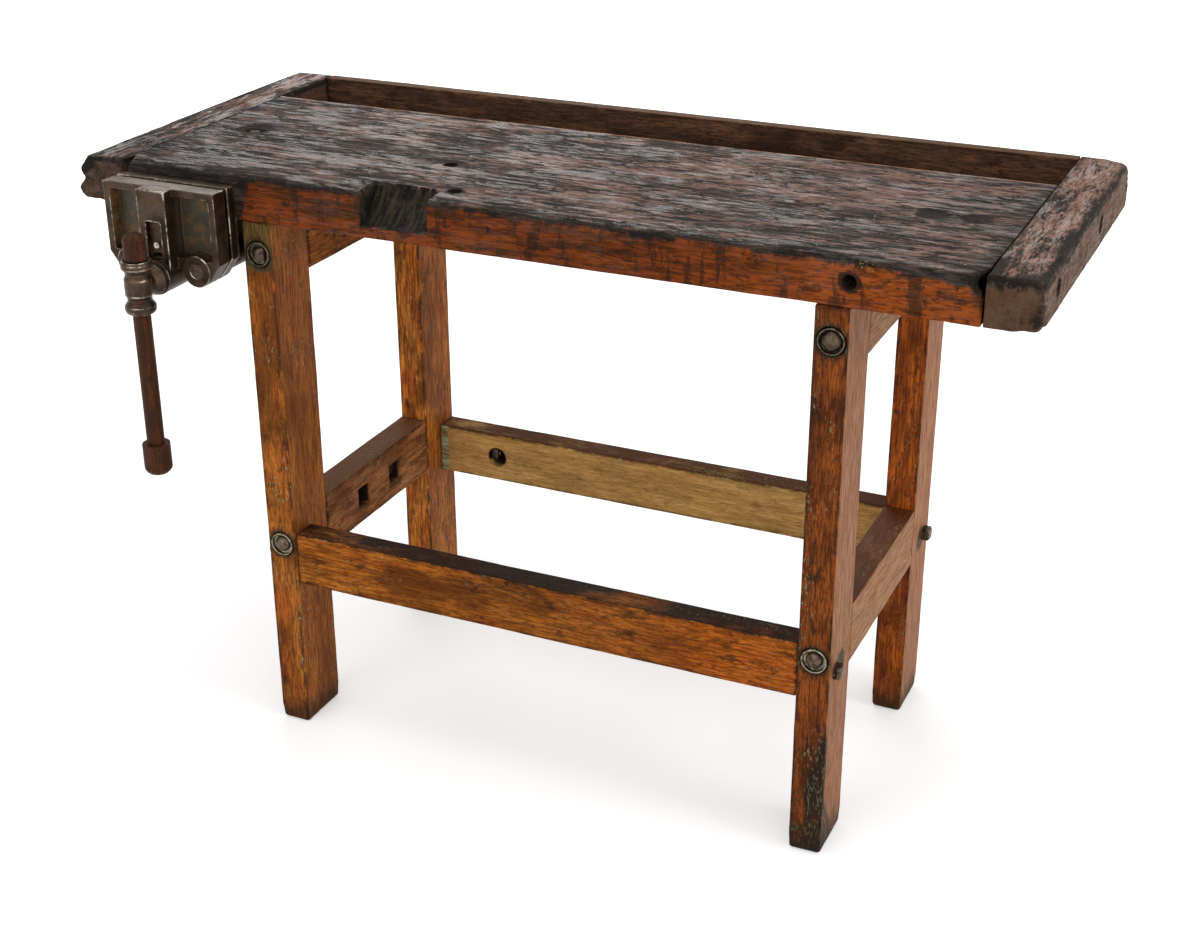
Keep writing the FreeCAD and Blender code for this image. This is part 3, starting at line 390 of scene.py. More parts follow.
class Nodes:
    """Builds a node tree by short calls, each of which gives back a node's output."""

    def __init__(self, tree):
        self.tree = tree

    def node(self, kind, inputs=(), **settings):
        made = self.tree.nodes.new(kind)
        for key, value in settings.items():
            setattr(made, key, value)
        for key, value in dict(inputs).items():
            self.feed(made.inputs[key], value)
        return made

    def feed(self, socket, value):
        if isinstance(value, bpy.types.NodeSocket):
            self.tree.links.new(value, socket)
        else:
            socket.default_value = value

    def calc(self, operation, first, second=0.0):
        return self.node("ShaderNodeMath", {0: first, 1: second}, operation=operation).outputs[0]

    def plus(self, first, second):
        return self.calc("ADD", first, second)

    def less(self, first, second):
        return self.calc("SUBTRACT", first, second)

    def most(self, first, second):
        return self.calc("MAXIMUM", first, second)

    def product(self, *values):
        result = values[0]
        for value in values[1:]:
            result = self.calc("MULTIPLY", result, value)
        return result

    def swing(self, value, strength):
        """How far a noise lies from its middle, times the strength."""
        return self.product(self.less(value, 0.5), strength)

    def between(self, value, low, high, start=0.0, end=1.0):
        """Low where the value is at its start, high where it is at its end."""
        inputs = {"Value": value, "From Min": start, "From Max": end, "To Min": low, "To Max": high}
        return self.node("ShaderNodeMapRange", inputs).outputs[0]

    def step(self, value, low, high):
        """0 at low, 1 at high, smooth between. Low may be the larger."""
        inputs = {"Value": value, "From Min": low, "From Max": high}
        return self.node("ShaderNodeMapRange", inputs, interpolation_type="SMOOTHSTEP").outputs["Result"]

    def mix(self, amount, first, second, blend="MIX"):
        """Two colours mixed. Each is an output, a screen colour of three values or a linear one of four."""
        inputs = {0: amount, 6: in_linear(first), 7: in_linear(second)}
        return self.node("ShaderNodeMix", inputs, data_type="RGBA", blend_type=blend).outputs[2]


class Shader(Nodes):
    """The nodes of one material, with its colour so far in base."""

    def __init__(self, name, grain=None, noises=()):
        """The grain is the axis that the wood's noises are drawn out along."""
        self.material = bpy.data.materials.new(name)
        self.material.use_nodes = True
        super().__init__(self.material.node_tree)
        self.surface = self.tree.nodes["Principled BSDF"]
        self.where = self.node("ShaderNodeTexCoord").outputs["Object"]
        self.facing = self.node("ShaderNodeNewGeometry").outputs["Normal"]
        for key, (lengthwise, crosswise, *settings) in dict(noises).items():
            setattr(self, key, self.noise(along(grain, lengthwise, crosswise), *settings))

    def noise(self, frequency, detail=3, roughness=0.55, warp=0, offset=0):
        """Noise from 0 to 1. The frequency is in cycles per metre, one number or one for each direction."""
        if isinstance(frequency, int):
            frequency = (frequency,) * 3
        stretched = self.node("ShaderNodeVectorMath", {0: self.where, 1: frequency, 2: (offset,) * 3},
                              operation="MULTIPLY_ADD").outputs[0]
        inputs = {"Vector": stretched, "Scale": 1.0, "Detail": detail, "Roughness": roughness,
                  "Distortion": warp}
        return self.node("ShaderNodeTexNoise", inputs).outputs["Fac"]

    def value(self, name):
        """A number stored in the mesh."""
        return self.node("ShaderNodeAttribute", attribute_name=name).outputs["Fac"]

    def part(self, vector, axis):
        return self.node("ShaderNodeSeparateXYZ", {0: vector}).outputs[axis]

    def faces(self, axis, low, high):
        """From 0 to 1, by how far the surface faces along an axis."""
        return self.step(self.part(self.facing, axis), low, high)

    def lies(self, axis, low, high):
        """From 0 to 1, by where the point lies along an axis, in metres."""
        return self.step(self.part(self.where, axis), low, high)

    def lay(self, over, *amounts):
        """Lays a colour over the base, by the product of the amounts."""
        self.base = self.mix(self.product(*amounts), self.base, over)

    def bump(self, height, distance, strength):
        inputs = {"Height": height, "Distance": distance, "Strength": strength}
        return self.node("ShaderNodeBump", inputs).outputs["Normal"]

    def keep(self, name, **inputs):
        """Sets the surface's inputs, named with _ for a space, and keeps the material under its name."""
        for key, value in inputs.items():
            self.feed(self.surface.inputs[key.replace("_", " ")], value)
        MATERIALS[name] = self.material


# Colours as they look on a screen, red, green and blue from 0 to 255.
GOLD = (190, 114, 40)
TAN = (150, 84, 30)
DEEP = (82, 42, 15)
SOOT = (42, 30, 22)
BLACK = (27, 22, 19)
OLD_PAINT = (150, 160, 126)
GREEN_COAT = ((98, 84, 48), (62, 50, 28))
PALE_COAT = ((160, 172, 140), (112, 96, 58))
# A worktop's sides: light, mid, dark, and their colour towards the right.
SLAB_SIDES = ((123, 57, 15), (80, 38, 11), (35, 21, 12), (168, 82, 24))
CAP_SIDES = ((91, 65, 47), (68, 49, 36), (44, 33, 25), (91, 65, 47))

# Noises of wood: cycles per metre along and across the grain, detail, roughness, warp and offset.
OAK_NOISES = {
    "bands": (6, 55, 4, 0.55, 0.6, 0),
    "streaks": (30, 330, 5, 0.66, 0.25, 0),
    "pores": (95, 820, 2, 0.6, 0, 0),
    "clouds": (9, 17, 6, 0.62, 0, 4),
    "patches": (8, 34, 5, 0.65, 0.3, 18),
    "blots": (30, 62, 6, 0.7, 0, 9),
    "ragged": (38, 120, 5, 0.7, 0, 2),
    "splashes": (110, 240, 4, 0.7, 0, 7),
    "flecks": (150, 420, 3, 0.6, 0, 1),
    "flecked": (9, 24, 3, 0.55, 0, 5),
}
WORKTOP_NOISES = {
    "furrows": (17, 130, 6, 0.62, 0.3, 0),
    "fine": (60, 300, 4, 0.68, 0, 0),
    "cracks": (13, 58, 4, 0.6, 0.5, 12),
    "cracked": (16, 40, 4, 0.6, 0, 20),
    "clouds": (7, 15, 6, 0.62, 0, 3),
    "worn": (6, 15, 4, 0.6, 0, 8),
    "lines": (21, 125, 6, 0.64, 0.3, 30),
    "bands": (8, 100, 4, 0.55, 0.4, 1),
    "ticks": (55, 380, 4, 0.7, 0, 14),
    "blots": (24, 70, 6, 0.7, 0, 5),
    "polish": (7, 18, 4, 0.6, 0, 15),
    "glints": (27, 150, 6, 0.66, 0.3, 40),
}


def oak_figure(s, light, mid, dark, marks, blush, red):
    """Soft bands and patches of colour, fine streaks, pores and stains."""
    s.base = s.mix(s.step(s.bands, 0.36, 0.62), mid, light)
    s.lay((176, 84, 26), s.lies(X, -0.15, 0.4), blush)
    s.lay((172, 72, 24), s.step(s.patches, 0.46, 0.6), red)
    s.lay(dark, s.step(s.streaks, 0.46, 0.6), 0.62 * marks)
    s.lay(light, s.step(s.streaks, 0.46, 0.34), 0.5)
    s.lay(SOOT, s.step(s.pores, 0.52, 0.62), 0.55 * marks)
    s.lay(dark, s.step(s.clouds, 0.46, 0.66), 0.75 * marks)
    s.lay(SOOT, s.step(s.blots, 0.56, 0.64), 0.66 * marks)


def oak_edges(s, light):
    """Edges that are dirty in some places and rubbed light in others."""
    edge = s.step(s.value("edge"), 0.007, 0.001)
    s.lay(SOOT, edge, s.step(s.ragged, 0.42, 0.54), 0.8)
    s.lay(light, edge, s.step(s.ragged, 0.46, 0.38), 0.5)


def oak_faces(s, side_tone_and_light, side_tone_and_light_share, dust, dirty_top):
    """The faces towards the right turn to a side tint: on the right legs and rails a paler one, painted light
    from the lamp on the right, and on the left legs a golden tone of the wood. The upper face is dusty with
    pale splashes.
    """
    # The side tint with the grain in it: on the right legs and rails a paler tint, painted light from the
    # lamp on the right.
    fibres = s.mix(s.step(s.streaks, 0.42, 0.6), (1.12, 1.1, 1.08, 1), (0.66, 0.6, 0.54, 1))
    fibres = s.mix(s.product(s.step(s.bands, 0.4, 0.6), 0.5), fibres, (0.74, 0.66, 0.62, 1), "MULTIPLY")
    s.lay(s.mix(1.0, side_tone_and_light, fibres, "MULTIPLY"), s.faces(X, 0.4, 0.9), side_tone_and_light_share)
    up = s.faces(Z, 0.5, 0.9)
    s.lay(dust, up, dirty_top, s.step(s.clouds, 0.24, 0.5))
    s.lay((150, 140, 118), up, s.step(s.splashes, 0.63, 0.68), s.step(s.clouds, 0.52, 0.42), dirty_top * 0.6)


def oak_paint(s, specks, coat):
    """Specks of pale paint, and the remains of a coat of it in the painted spots."""
    s.lay(OLD_PAINT, s.step(s.flecks, 0.6, 0.65), s.step(s.flecked, 0.5, 0.62), specks)
    painted = s.product(s.step(s.value("paint"), 0.2, 0.36), s.faces(Y, -0.4, -0.8))
    s.lay(s.mix(s.step(s.streaks, 0.4, 0.6), *coat), painted, s.step(s.blots, 0.72, 0.5), 0.9)


def oak_dirt(s):
    """Grime in the stained spots, darker wood near the floor, and painted shade inside holes and cuts."""
    grime = s.product(s.step(s.value("stain"), 0.0, 0.8), s.step(s.blots, 0.26, 0.46))
    s.lay((36, 29, 22), grime, 0.88)
    s.lay((104, 106, 76), grime, s.step(s.flecks, 0.56, 0.6), 0.6)
    # Darker within a few centimetres of the floor.
    height = s.less(s.part(s.where, Z), s.product(s.blots, 0.06))
    s.lay(SOOT, s.step(height, 0.016, -0.02), 0.75)
    # Painted shade inside holes and cuts below the board's faces.
    s.lay((38, 30, 22), s.step(s.value("inside"), 0.0012, 0.006))


def varnished(name, grain, light, mid, dark, specks=0.5, dirty_top=0.0, dust=(50, 34, 24), marks=1.0,
              side_tone_and_light_share=0.0, side_tone_and_light=(170, 121, 86), gloss=0.05, blush=0.0, red=0.0, coat=GREEN_COAT):
    """Old varnished oak: fine streaks, soft bands, dark stains, worn dirty edges and specks of pale paint.

    Marks scales the streaks and stains, the side share is how far the faces towards the right turn to the
    side tint, which on the right legs and rails is painted light, blush how far the board turns redder
    towards its right end, red how strong its red patches are, and coat the two tones of the old paint on it."""
    s = Shader(name, grain, OAK_NOISES)
    oak_figure(s, light, mid, dark, marks, blush, red)
    oak_edges(s, light)
    oak_faces(s, side_tone_and_light, side_tone_and_light_share, dust, dirty_top)
    oak_paint(s, specks, coat)
    oak_dirt(s)
    grooves = s.product(s.step(s.streaks, 0.44, 0.6), 0.6)
    grooves = s.plus(grooves, s.product(s.step(s.pores, 0.54, 0.62), 0.3))
    height = s.less(s.plus(s.bands, s.product(s.flecks, 0.4)), grooves)
    s.keep(name, Base_Color=s.base, Roughness=s.between(s.streaks, 0.3, 0.66), Specular_IOR_Level=gloss,
           Normal=s.bump(height, 0.0011, 0.7))


def worktop_top(s, pale, bare, crack, specks):
    """Black-brown furrows with worn pale patches, more of them to the right and the rear, and cracks."""
    streaky = s.plus(s.worn, s.swing(s.lines, 1.1))
    more = s.plus(s.product(s.lies(X, -0.1, 0.45), 0.07), s.product(s.lies(Y, -0.05, 0.15), 0.04))
    worn_off = s.step(s.plus(s.plus(streaky, bare), more), 0.52, 0.6)
    s.base = s.mix(s.step(s.furrows, 0.42, 0.58), (30, 24, 21), (76, 60, 52))
    s.lay(pale, worn_off, s.faces(Z, 0.45, 0.8), 0.85)
    s.lay(BLACK, s.step(s.fine, 0.5, 0.58), 0.7)
    s.lay((34, 28, 25), s.step(s.clouds, 0.45, 0.34), 0.7)
    s.lay((13, 11, 10), crack, 0.92)
    s.lay((200, 192, 180), s.step(specks, 0.735, 0.75))


def worktop_edge(s, lip_width, rear_edge):
    """The top's dark lip along its edges, and along its rear edge a light colour: worn wood with a painted
    highlight on it.
    """
    rear = s.lies(Y, rear_edge - 0.008, rear_edge - 0.001)
    lip = s.product(s.step(s.value("edge"), lip_width, lip_width * 0.3), s.step(s.lines, 0.7, 0.45), 0.9)
    s.lay(BLACK, lip, s.less(1.0, rear))
    # Painted highlight: the light line along the worn rear edge, where the light from behind catches it.
    s.lay((176, 122, 82), rear, s.step(s.lines, 0.36, 0.5), 0.85)


def worktop_side(s, grain, sides, pale, lit_end_pale):
    """Cleaner sides with bands, ticks, runs and blots of dirt, and the faces towards the right paler, painted
    light from the lamp on the right.
    """
    light, mid, dark, glow = sides
    s.base = s.mix(s.step(s.bands, 0.38, 0.6), mid, light)
    # Painted light: the pale colour over the faces towards the right, lit by the lamp on the right.
    s.lay(pale, s.faces(X, 0.4, 0.9), lit_end_pale)
    s.lay(glow, s.lies(X, 0.2, 0.5), 0.6)
    s.lay(dark, s.faces(Y, 0.4, 0.8), 0.75)
    end_grain = s.step(s.calc("ABSOLUTE", s.part(s.facing, grain)), 0.5, 0.8)
    s.lay(dark, s.step(s.ticks, 0.48, 0.58), s.less(0.6, s.product(end_grain, 0.42)))
    runs = s.noise((52, 52, 15), 6, 0.68, offset=5)
    s.lay(dark, s.step(runs, 0.52, 0.61), 0.72)
    s.lay(dark, s.step(s.blots, 0.56, 0.63), 0.75)


def worktop_crown(s):
    """1 on the top and as far down the sides as its dark colour runs, with a ragged end."""
    ragged = s.noise((85, 85, 20), 6, 0.72, offset=2)
    ragged = s.less(s.plus(ragged, s.product(s.ticks, 0.3)), 0.65)
    over = s.step(s.less(s.value("below"), s.product(ragged, 0.03)), 0.0035, -0.0035)
    return s.most(over, s.faces(Z, 0.45, 0.8))


def worktop_roughness(s, crack, grime):
    """Polished streaks, more of them to the left, on a matt top and matt right faces."""
    polish = s.plus(s.polish, s.product(s.lies(X, 0.35, -0.35), 0.045))
    polished = s.plus(polish, s.swing(s.glints, 1.1))
    matt = s.most(s.step(polished, 0.57, 0.48), s.most(crack, s.step(s.furrows, 0.5, 0.42)))
    matt = s.most(matt, s.most(grime, s.product(s.faces(X, 0.4, 0.9), 0.62)))
    return s.between(matt, 0.22, 0.85)


def worktop(name, grain, sides, pale, bare, lip_width, lit_end_pale=0.0, rear_edge=1.0):
    """Old dark worktop: black-brown furrows with pinkish worn patches, and sides of another, cleaner colour.

    Bare, from about 0 to 0.1, says how much of the top is worn to the pale colour, lip_width how far from the
    edges it stays dark, the end share how far the pale colour lies over the faces towards the right as
    painted light from the lamp on the right, and rear_edge where in Y the rear edge lies, whose light colour
    is wear with a painted highlight on it."""
    s = Shader(name, grain, WORKTOP_NOISES)
    specks = s.noise(310, 2, offset=6)
    line = s.step(s.calc("ABSOLUTE", s.less(s.cracks, 0.5)), 0.04, 0.015)
    crack = s.product(line, s.step(s.cracked, 0.46, 0.56))
    worktop_top(s, pale, bare, crack, specks)
    worktop_edge(s, lip_width, rear_edge)
    top = s.base
    worktop_side(s, grain, sides, pale, lit_end_pale)
    s.base = s.mix(worktop_crown(s), s.base, top)
    patchy = s.plus(s.swing(s.blots, 1.6), s.swing(s.fine, 0.9))
    # Black over the stained spots: dirt, and around the hollows painted shade of their recesses.
    grime = s.step(s.plus(s.value("stain"), patchy), 0.3, 0.75)
    grime = s.product(grime, s.step(s.value("stain"), 0.02, 0.2))
    s.lay(BLACK, grime, 0.9)
    gouges = s.noise((170, 22, 30), 4, 0.6, offset=10)
    # Painted shade inside the holes and recesses below the board's faces, with the notch's own dark gouged
    # wood.
    within = s.step(s.value("inside"), 0.0012, 0.006)
    s.lay(s.mix(s.step(gouges, 0.42, 0.6), (17, 14, 10), (48, 40, 30)), within)
    s.lay((140, 124, 62), s.step(s.value("paint"), 0.1, 0.5), s.step(specks, 0.57, 0.64), 0.7)
    relief = s.less(s.plus(s.furrows, s.product(s.fine, 0.7)), s.product(crack, 0.6))
    height = s.plus(relief, s.product(within, gouges, 2.0))
    s.keep(name, Base_Color=s.base, Roughness=worktop_roughness(s, crack, grime), Specular_IOR_Level=0.27,
           IOR=1.32, Normal=s.bump(height, 0.0026, 0.85))


def iron(name, dark, light, rust_share):
    """Old cast iron: dark brown skin, rust and grime in the hollows, a pale colour painted as light into
    shaded places, painted shade in the concave corners, and bare metal on the worn edges, which also stands
    for painted highlights along them.
    """
    s = Shader(name)
    clouds = s.noise(38, 5, 0.6)
    grit = s.noise(520, 4, 0.65, offset=3)
    rust = s.noise(55, 6, 0.7, offset=7)
    rubbed = s.noise(48, 6, 0.72, offset=5)
    ridge = s.value("ridge")
    hollow = s.value("hollow")
    s.base = s.mix(s.step(clouds, 0.35, 0.65), dark, light)
    s.lay((84, 54, 28), s.step(rust, 0.48, 0.6), rust_share)
    s.lay((66, 64, 50), hollow, s.step(rust, 0.6, 0.42), 0.8)
    s.lay((98, 74, 44), hollow, s.step(rust, 0.5, 0.6), 0.7)
    # Painted light: a pale rust colour where the hollow mark runs to 2, in shaded places of the front jaw.
    s.lay(s.mix(s.step(rust, 0.4, 0.6), (150, 112, 70), (96, 70, 44)), s.step(hollow, 1.0, 2.0))
    # Painted shade: darker in the concave corners.
    s.lay((30, 23, 16), s.step(ridge, -0.015, -0.06), 0.7)
    top = s.product(s.faces(Z, 0.6, 0.9), s.lies(Z, 0.79, 0.805))
    s.lay((104, 92, 77), top, s.step(clouds, 0.6, 0.42), 0.75)
    # Lighter and bare metal on the proud edges: wear, and painted highlights along the edges.
    s.lay((100, 88, 74), s.step(ridge, 0.01, 0.06), s.step(rubbed, 0.35, 0.55), 0.5)
    proud = s.step(s.plus(ridge, s.swing(rubbed, 0.5)), 0.06, 0.12)
    bare = s.product(proud, s.step(ridge, 0.012, 0.05), s.step(hollow, 0.3, 0.1))
    s.lay((172, 162, 148), bare, 0.85)
    rough = s.between(s.less(s.product(clouds, 0.6), bare), 0.15, 0.45, -0.6, 0.6)
    s.keep(name, Base_Color=s.base, Metallic=s.between(hollow, 0.85, 0.25), Roughness=rough,
           Specular_IOR_Level=0.3, Normal=s.bump(grit, 0.0008, 0.5))


def steel(name, tone, dirt, roughness, upper=1.0):
    """Dull old steel with stains and fine scratches. Upper darkens what lies high on the bench."""
    s = Shader(name)
    clouds = s.noise(160, 4, 0.6)
    scratches = s.noise((300, 2500, 300), 2, offset=2)
    s.base = s.mix(s.step(clouds, 0.4, 0.65), tone, dirt)
    s.lay((150, 145, 138), s.step(scratches, 0.6, 0.7), 0.4)
    s.lay((40, 28, 18), s.lies(Z, 0.4, 0.6), 1.0 - upper)
    rough = s.between(clouds, roughness, roughness + 0.25)
    s.keep(name, Base_Color=s.base, Metallic=0.85, Roughness=rough, Normal=s.bump(scratches, 0.0002, 0.3))


def make_woods():
    """The worktop's, the legs', the stretchers', the rails' and the handle's wood."""
    worktop("slab_wood", X, SLAB_SIDES, (128, 99, 87), -0.01, 0.03, rear_edge=slab_high.y)
    worktop("left_cap_wood", Y, CAP_SIDES, (126, 92, 78), 0.015, 0.016)
    worktop("right_cap_wood", Y, CAP_SIDES, (138, 105, 90), 0.06, 0.012, 0.95)
    varnished("trough_wood", X, (74, 50, 34), (58, 40, 28), SOOT, 0.1, 0.5)
    varnished("board_wood", X, (110, 76, 55), (82, 58, 44), (46, 34, 27), 0.1, 0.8, (92, 62, 38), gloss=0.02)
    # The legs' tones differ: the rear left leg is lighter, painted light for a leg at the back, and the front
    # right leg darker, painted shade for the best lit leg, which also has more stains. The paler sides of the
    # right legs are painted light from the lamp on the right.
    varnished("front_left_leg_wood", Z, GOLD, TAN, DEEP, 0.9, side_tone_and_light_share=0.3, side_tone_and_light=(156, 92, 42),
              red=0.4)
    varnished("rear_left_leg_wood", Z, (234, 146, 58), (188, 112, 48), DEEP, 1.0, side_tone_and_light_share=0.3,
              side_tone_and_light=(150, 88, 42), red=0.6)
    varnished("front_right_leg_wood", Z, (146, 76, 27), (105, 52, 21), (62, 30, 14), 0.6, marks=1.2,
              side_tone_and_light_share=0.75)
    varnished("rear_right_leg_wood", Z, (184, 94, 30), (134, 64, 22), (78, 36, 15), 0.6, side_tone_and_light_share=0.75)
    varnished("stretcher_wood", X, GOLD, TAN, DEEP, 0.5, 0.95, (42, 29, 21), gloss=0.02, blush=0.65, red=0.25)
    varnished("pale_wood", X, (204, 158, 92), (180, 136, 76), (124, 92, 50), 0.7, 0.95, (82, 42, 22),
              marks=0.55, gloss=0.02, coat=PALE_COAT)
    varnished("left_rail_wood", Y, (182, 118, 70), (142, 92, 56), DEEP, 0.6, 0.9, (126, 88, 62), marks=0.85,
              gloss=0.02)
    varnished("left_upper_rail_wood", Y, GOLD, TAN, DEEP, 0.5, gloss=0.02, red=0.7)
    varnished("right_rail_wood", Y, (150, 100, 62), (112, 70, 42), DEEP, 0.5, 0.9, (94, 50, 20),
              side_tone_and_light_share=0.75, side_tone_and_light=(172, 124, 84))
    varnished("handle_wood", Z, (82, 44, 22), (61, 34, 18), SOOT, 0.0, gloss=0.08)


def make_metals():
    """The vise's cast iron, and the steel of screws, bolts and washers."""
    iron("vise_iron", (44, 36, 29), (72, 60, 50), 0.4)
    steel("vise_steel", (92, 82, 72), (58, 48, 40), 0.32)
    steel("bolt_steel", (98, 82, 66), (54, 41, 31), 0.28, 0.6)
    # Darker steel for the hanger bolt: painted shade for the bolt down in its recess in the top.
    steel("hanger_shaded_steel", (52, 43, 36), (30, 25, 21), 0.6)
    steel("cup_metal", (150, 142, 118), (76, 70, 52), 0.3, 0.35)
    steel("screw_steel", (110, 104, 98), (64, 56, 50), 0.35)
    steel("bright_steel", (214, 208, 196), (150, 140, 126), 0.2)
    steel("spring_steel", (90, 86, 84), (56, 52, 48), 0.3)


def dress_frame():
    """Gives every CAD node the material of its slot, or the stretchers' wood."""
    for row in frame["record"]["subparts"]:
        carried = frame["nodes"][row["node"]]
        carried.data.materials.clear()
        carried.data.materials.append(MATERIALS.get(row["material_slot"]) or MATERIALS["stretcher_wood"])


# ---------------- the bench's wear


def front_top_edge(points):
    """1 along the slab's front top edge, 0 away from it."""
    return fade(from_front(points), 30, 14) * fade(below_top(points), 30, 14)


def outer_top_edge(end_x):
    """A function that is 1 along an end cap's outer top edge and its outer front corner, 0 away from them."""
    def closeness(points):
        outer = fade(np.abs(points[:, X] - end_x), 34, 18)
        return outer * np.maximum(fade(below_top(points), 34, 18), fade(from_front(points), 34, 18))
    return closeness


def slab_wear(points, normals):
    """The front edge is worn rounder and the front right corner, beside the end cap, is broken away."""
    from_corner = (points - np.array(place(RIGHT_SEAM, 0, 814))) * np.array((1.0, 0.6, 0.8))
    distance = np.linalg.norm(from_corner, axis=1)
    broken = 18.0 * MM * fade(distance, 52, 10) * np.abs(normals[:, X]) + 5.0 * MM * fade(distance, 30, 4)
    front = fade(from_front(points), 26, 0) * normals[:, Z].clip(0)
    sag = front * (1.4 + 1.2 * noise_at(points, 14, seed=31.0)) * MM
    return broken + sag.clip(0) + near_spots(points, HOLLOWS) * 2.6 * MM


def slab_band(points):
    """How far the dark top runs down the slab's front: further beside the vise and at the right end."""
    by_vise = fade(from_left(points), 268, 256) * fade(from_front(points), 90, 50)
    right = fade(from_left(points), 1120, 1200)
    uneven = noise_at(points, (11, 11, 3), seed=71.0)
    return (9 + 52 * by_vise + 9 * right + 5 * uneven) * MM


def cap_band(points):
    """How far the dark top runs down an end cap."""
    return (10 + 8 * noise_at(points, (20, 12, 5), seed=73.0)) * MM


def right_cap_dirt(points):
    """Dirt along the right end cap's outer top edge and over the front of its top, from 0 to 1."""
    uneven = 14 * MM * noise_at(points, (17, 9, 17), seed=81.0)
    outer = fade(from_right(points) + uneven, 22, 6) * fade(below_top(points) + uneven, 20, 8)
    outer = outer * fade(from_front(points), 520, 330)
    front = fade(from_front(points) + uneven * 2, 110, 50) * fade(below_top(points) + uneven, 16, 4)
    corner = fade(distance_from(points, place(RIGHT_END, 0, 794)) + uneven, 26, 8)
    return np.maximum(np.maximum(outer, front), corner) * 0.68


# The left cap's split front corner: the groove's height, and each lobe's height, half height and reach.
LOBE_GROOVE = 804 * MM
LOBES = ((815 * MM, 9 * MM, 9 * MM), (788 * MM, 12 * MM, 13 * MM))


def left_cap_wear(points, normals):
    """The outer top edge is worn away more towards the front, where the corner is split in two lobes."""
    forward = fade(from_front(points), 480, 60)
    slope = fade(from_left(points), 46, 0) * normals[:, Z].clip(0) * forward * 3.2 * MM
    side = np.abs(normals[:, X]) * fade(below_top(points), 18, 0) * forward * 1.5 * MM
    lumps = (0.5 + noise_at(points, (40, 22, 40), seed=41.0)).clip(0) * forward
    groove = fade(np.abs(points[:, Z] - LOBE_GROOVE), 8, 1)
    corner = fade(from_left(points), 30, 5) * fade(from_front(points), 40, 6)
    return slope + side * (0.6 + 0.8 * lumps) + groove * corner * 3.4 * MM + lumps * 1.1 * MM


def left_cap_swell(points):
    """The two lobes of the front corner bulge out."""
    lobe = sum(reach * np.exp(-((points[:, Z] - height) / half) ** 2) for height, half, reach in LOBES)
    out = lobe * fade(from_left(points), 34, 6) * fade(from_front(points), 70, 8)
    return out[:, None] * np.array((-0.83, -0.45, 0.0))


def right_cap_wear(points, normals):
    """The outer top edge is rounded and chipped."""
    lumps = (0.4 + noise_at(points, (45, 26, 45), seed=51.0)).clip(0)
    return fade(from_right(points), 24, 0) * fade(below_top(points), 24, 0) * lumps * 2.6 * MM


# The notch in the slab's front edge, in millimetres.
NOTCH_X = (437.4, 537.6)
NOTCH_REACH = 49
NOTCH_DEPTH = 46


def notch_cutter():
    """A rough scoop in the front edge, gouged from front to back."""
    across = np.linspace(*(place(x, 0, 0).x for x in NOTCH_X), 76)
    points, faces = lattice_box([across, np.linspace(0, 1, 26), np.array([0.0, 1.0])])
    t = points[:, Y]
    ramp_y = NOTCH_REACH * MM * (1 - t) - 4 * MM * t
    ramp_z = NOTCH_DEPTH * MM * np.sin(t * math.pi / 2) ** 0.9 + 0.6 * MM
    where = np.stack([points[:, X], ramp_y * 0.3, ramp_z * 0.3], axis=1)
    gouges = noise_at(where, (150, 30, 30), seed=61.0) * 3.4 * MM
    gouges += noise_at(where, (60, 40, 40), seed=67.0) * 2.4 * MM
    low_side = points[:, Z] < 0.5
    y = bench_front + np.where(low_side, ramp_y + gouges * 0.6, ramp_y - 6 * MM)
    z = bench_top + np.where(low_side, -ramp_z - gouges - 0.4 * MM, 8 * MM)
    points = np.stack([points[:, X], y, z], axis=1)
    return link("notch.cutter", mesh_of("notch.cutter", points, faces[:, ::-1]))


def foot(points):
    """1 at the foot of a leg, 0 above it."""
    return fade(points[:, Z], 24, 10)


def foot_dirt(points):
    """Dirt up the right half of the front right leg's front, with a ragged edge, from 0 to 1."""
    uneven = 13 * noise_at(points, (50, 50, 17), seed=91.0) + 6 * noise_at(points, (170, 170, 60), seed=93.0)
    width = 49 * fade(points[:, Z], 250, 110) - 22 + 30 * fade(points[:, Z], 60, 15)
    covered = (width + uneven) * MM - (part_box("front_right_leg")[1].x - points[:, X])
    depth = (10 + 50 * fade(points[:, Z], 90, 20)) * MM
    return fade(covered, -3, 6) * smooth_step(from_front(points), depth, depth * 0.3)


def stretcher_dirt(points):
    """A darker length of the front stretcher, right of its middle, from 0 to 1."""
    return 0.27 * fade(np.abs(points[:, X] - place(740, 0, 0).x), 240, 90)


def bolt_grime(side, end):
    """The dirty rings around a leg's bolts."""
    rings = [(LEG_X[side], FACE_Y[end], height, 30) for height in BOLT_HEIGHTS]
    return rings + [(OUTSIDE_X[side], STRETCHER_Y[end], STRETCHER_BOLT_HEIGHT, 24)]


# ---------------- the bench's boards

FRAME_RIMS = (2.6, 7.5)
FRAME_RELIEF = 0.4


def build_legs():
    for side in LEG_X:
        for end in FACE_Y:
            node = f"{end}_{side}_leg"
            worn_board(node, Z, (8, 3.4), FRAME_RIMS, FRAME_RELIEF, node + "_wood", "leg_wood",
                       widest=foot, dirt=foot_dirt if node == "front_right_leg" else no_wear,
                       stains=bolt_grime(side, end), paint=[PAINT_ON_LEG] if node == "front_left_leg" else [])


def build_stretchers():
    """The front stretcher and the paler rear one, whose left end has old paint on it."""
    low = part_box("rear_stretcher")[0]
    left, bottom = (low.x - bench_left) / MM, low.z / MM
    paint = [(left, STRETCHER_Y["rear"], bottom + h, 18) for h in (8, 24, 40, 56, 72)]
    worn_board("front_stretcher", X, (9, 3.6), FRAME_RIMS, FRAME_RELIEF, "stretcher_wood", "leg_wood",
               dirt=stretcher_dirt)
    worn_board("rear_stretcher", X, (9, 3.6), FRAME_RIMS, FRAME_RELIEF, "pale_wood", "leg_wood", paint=paint)


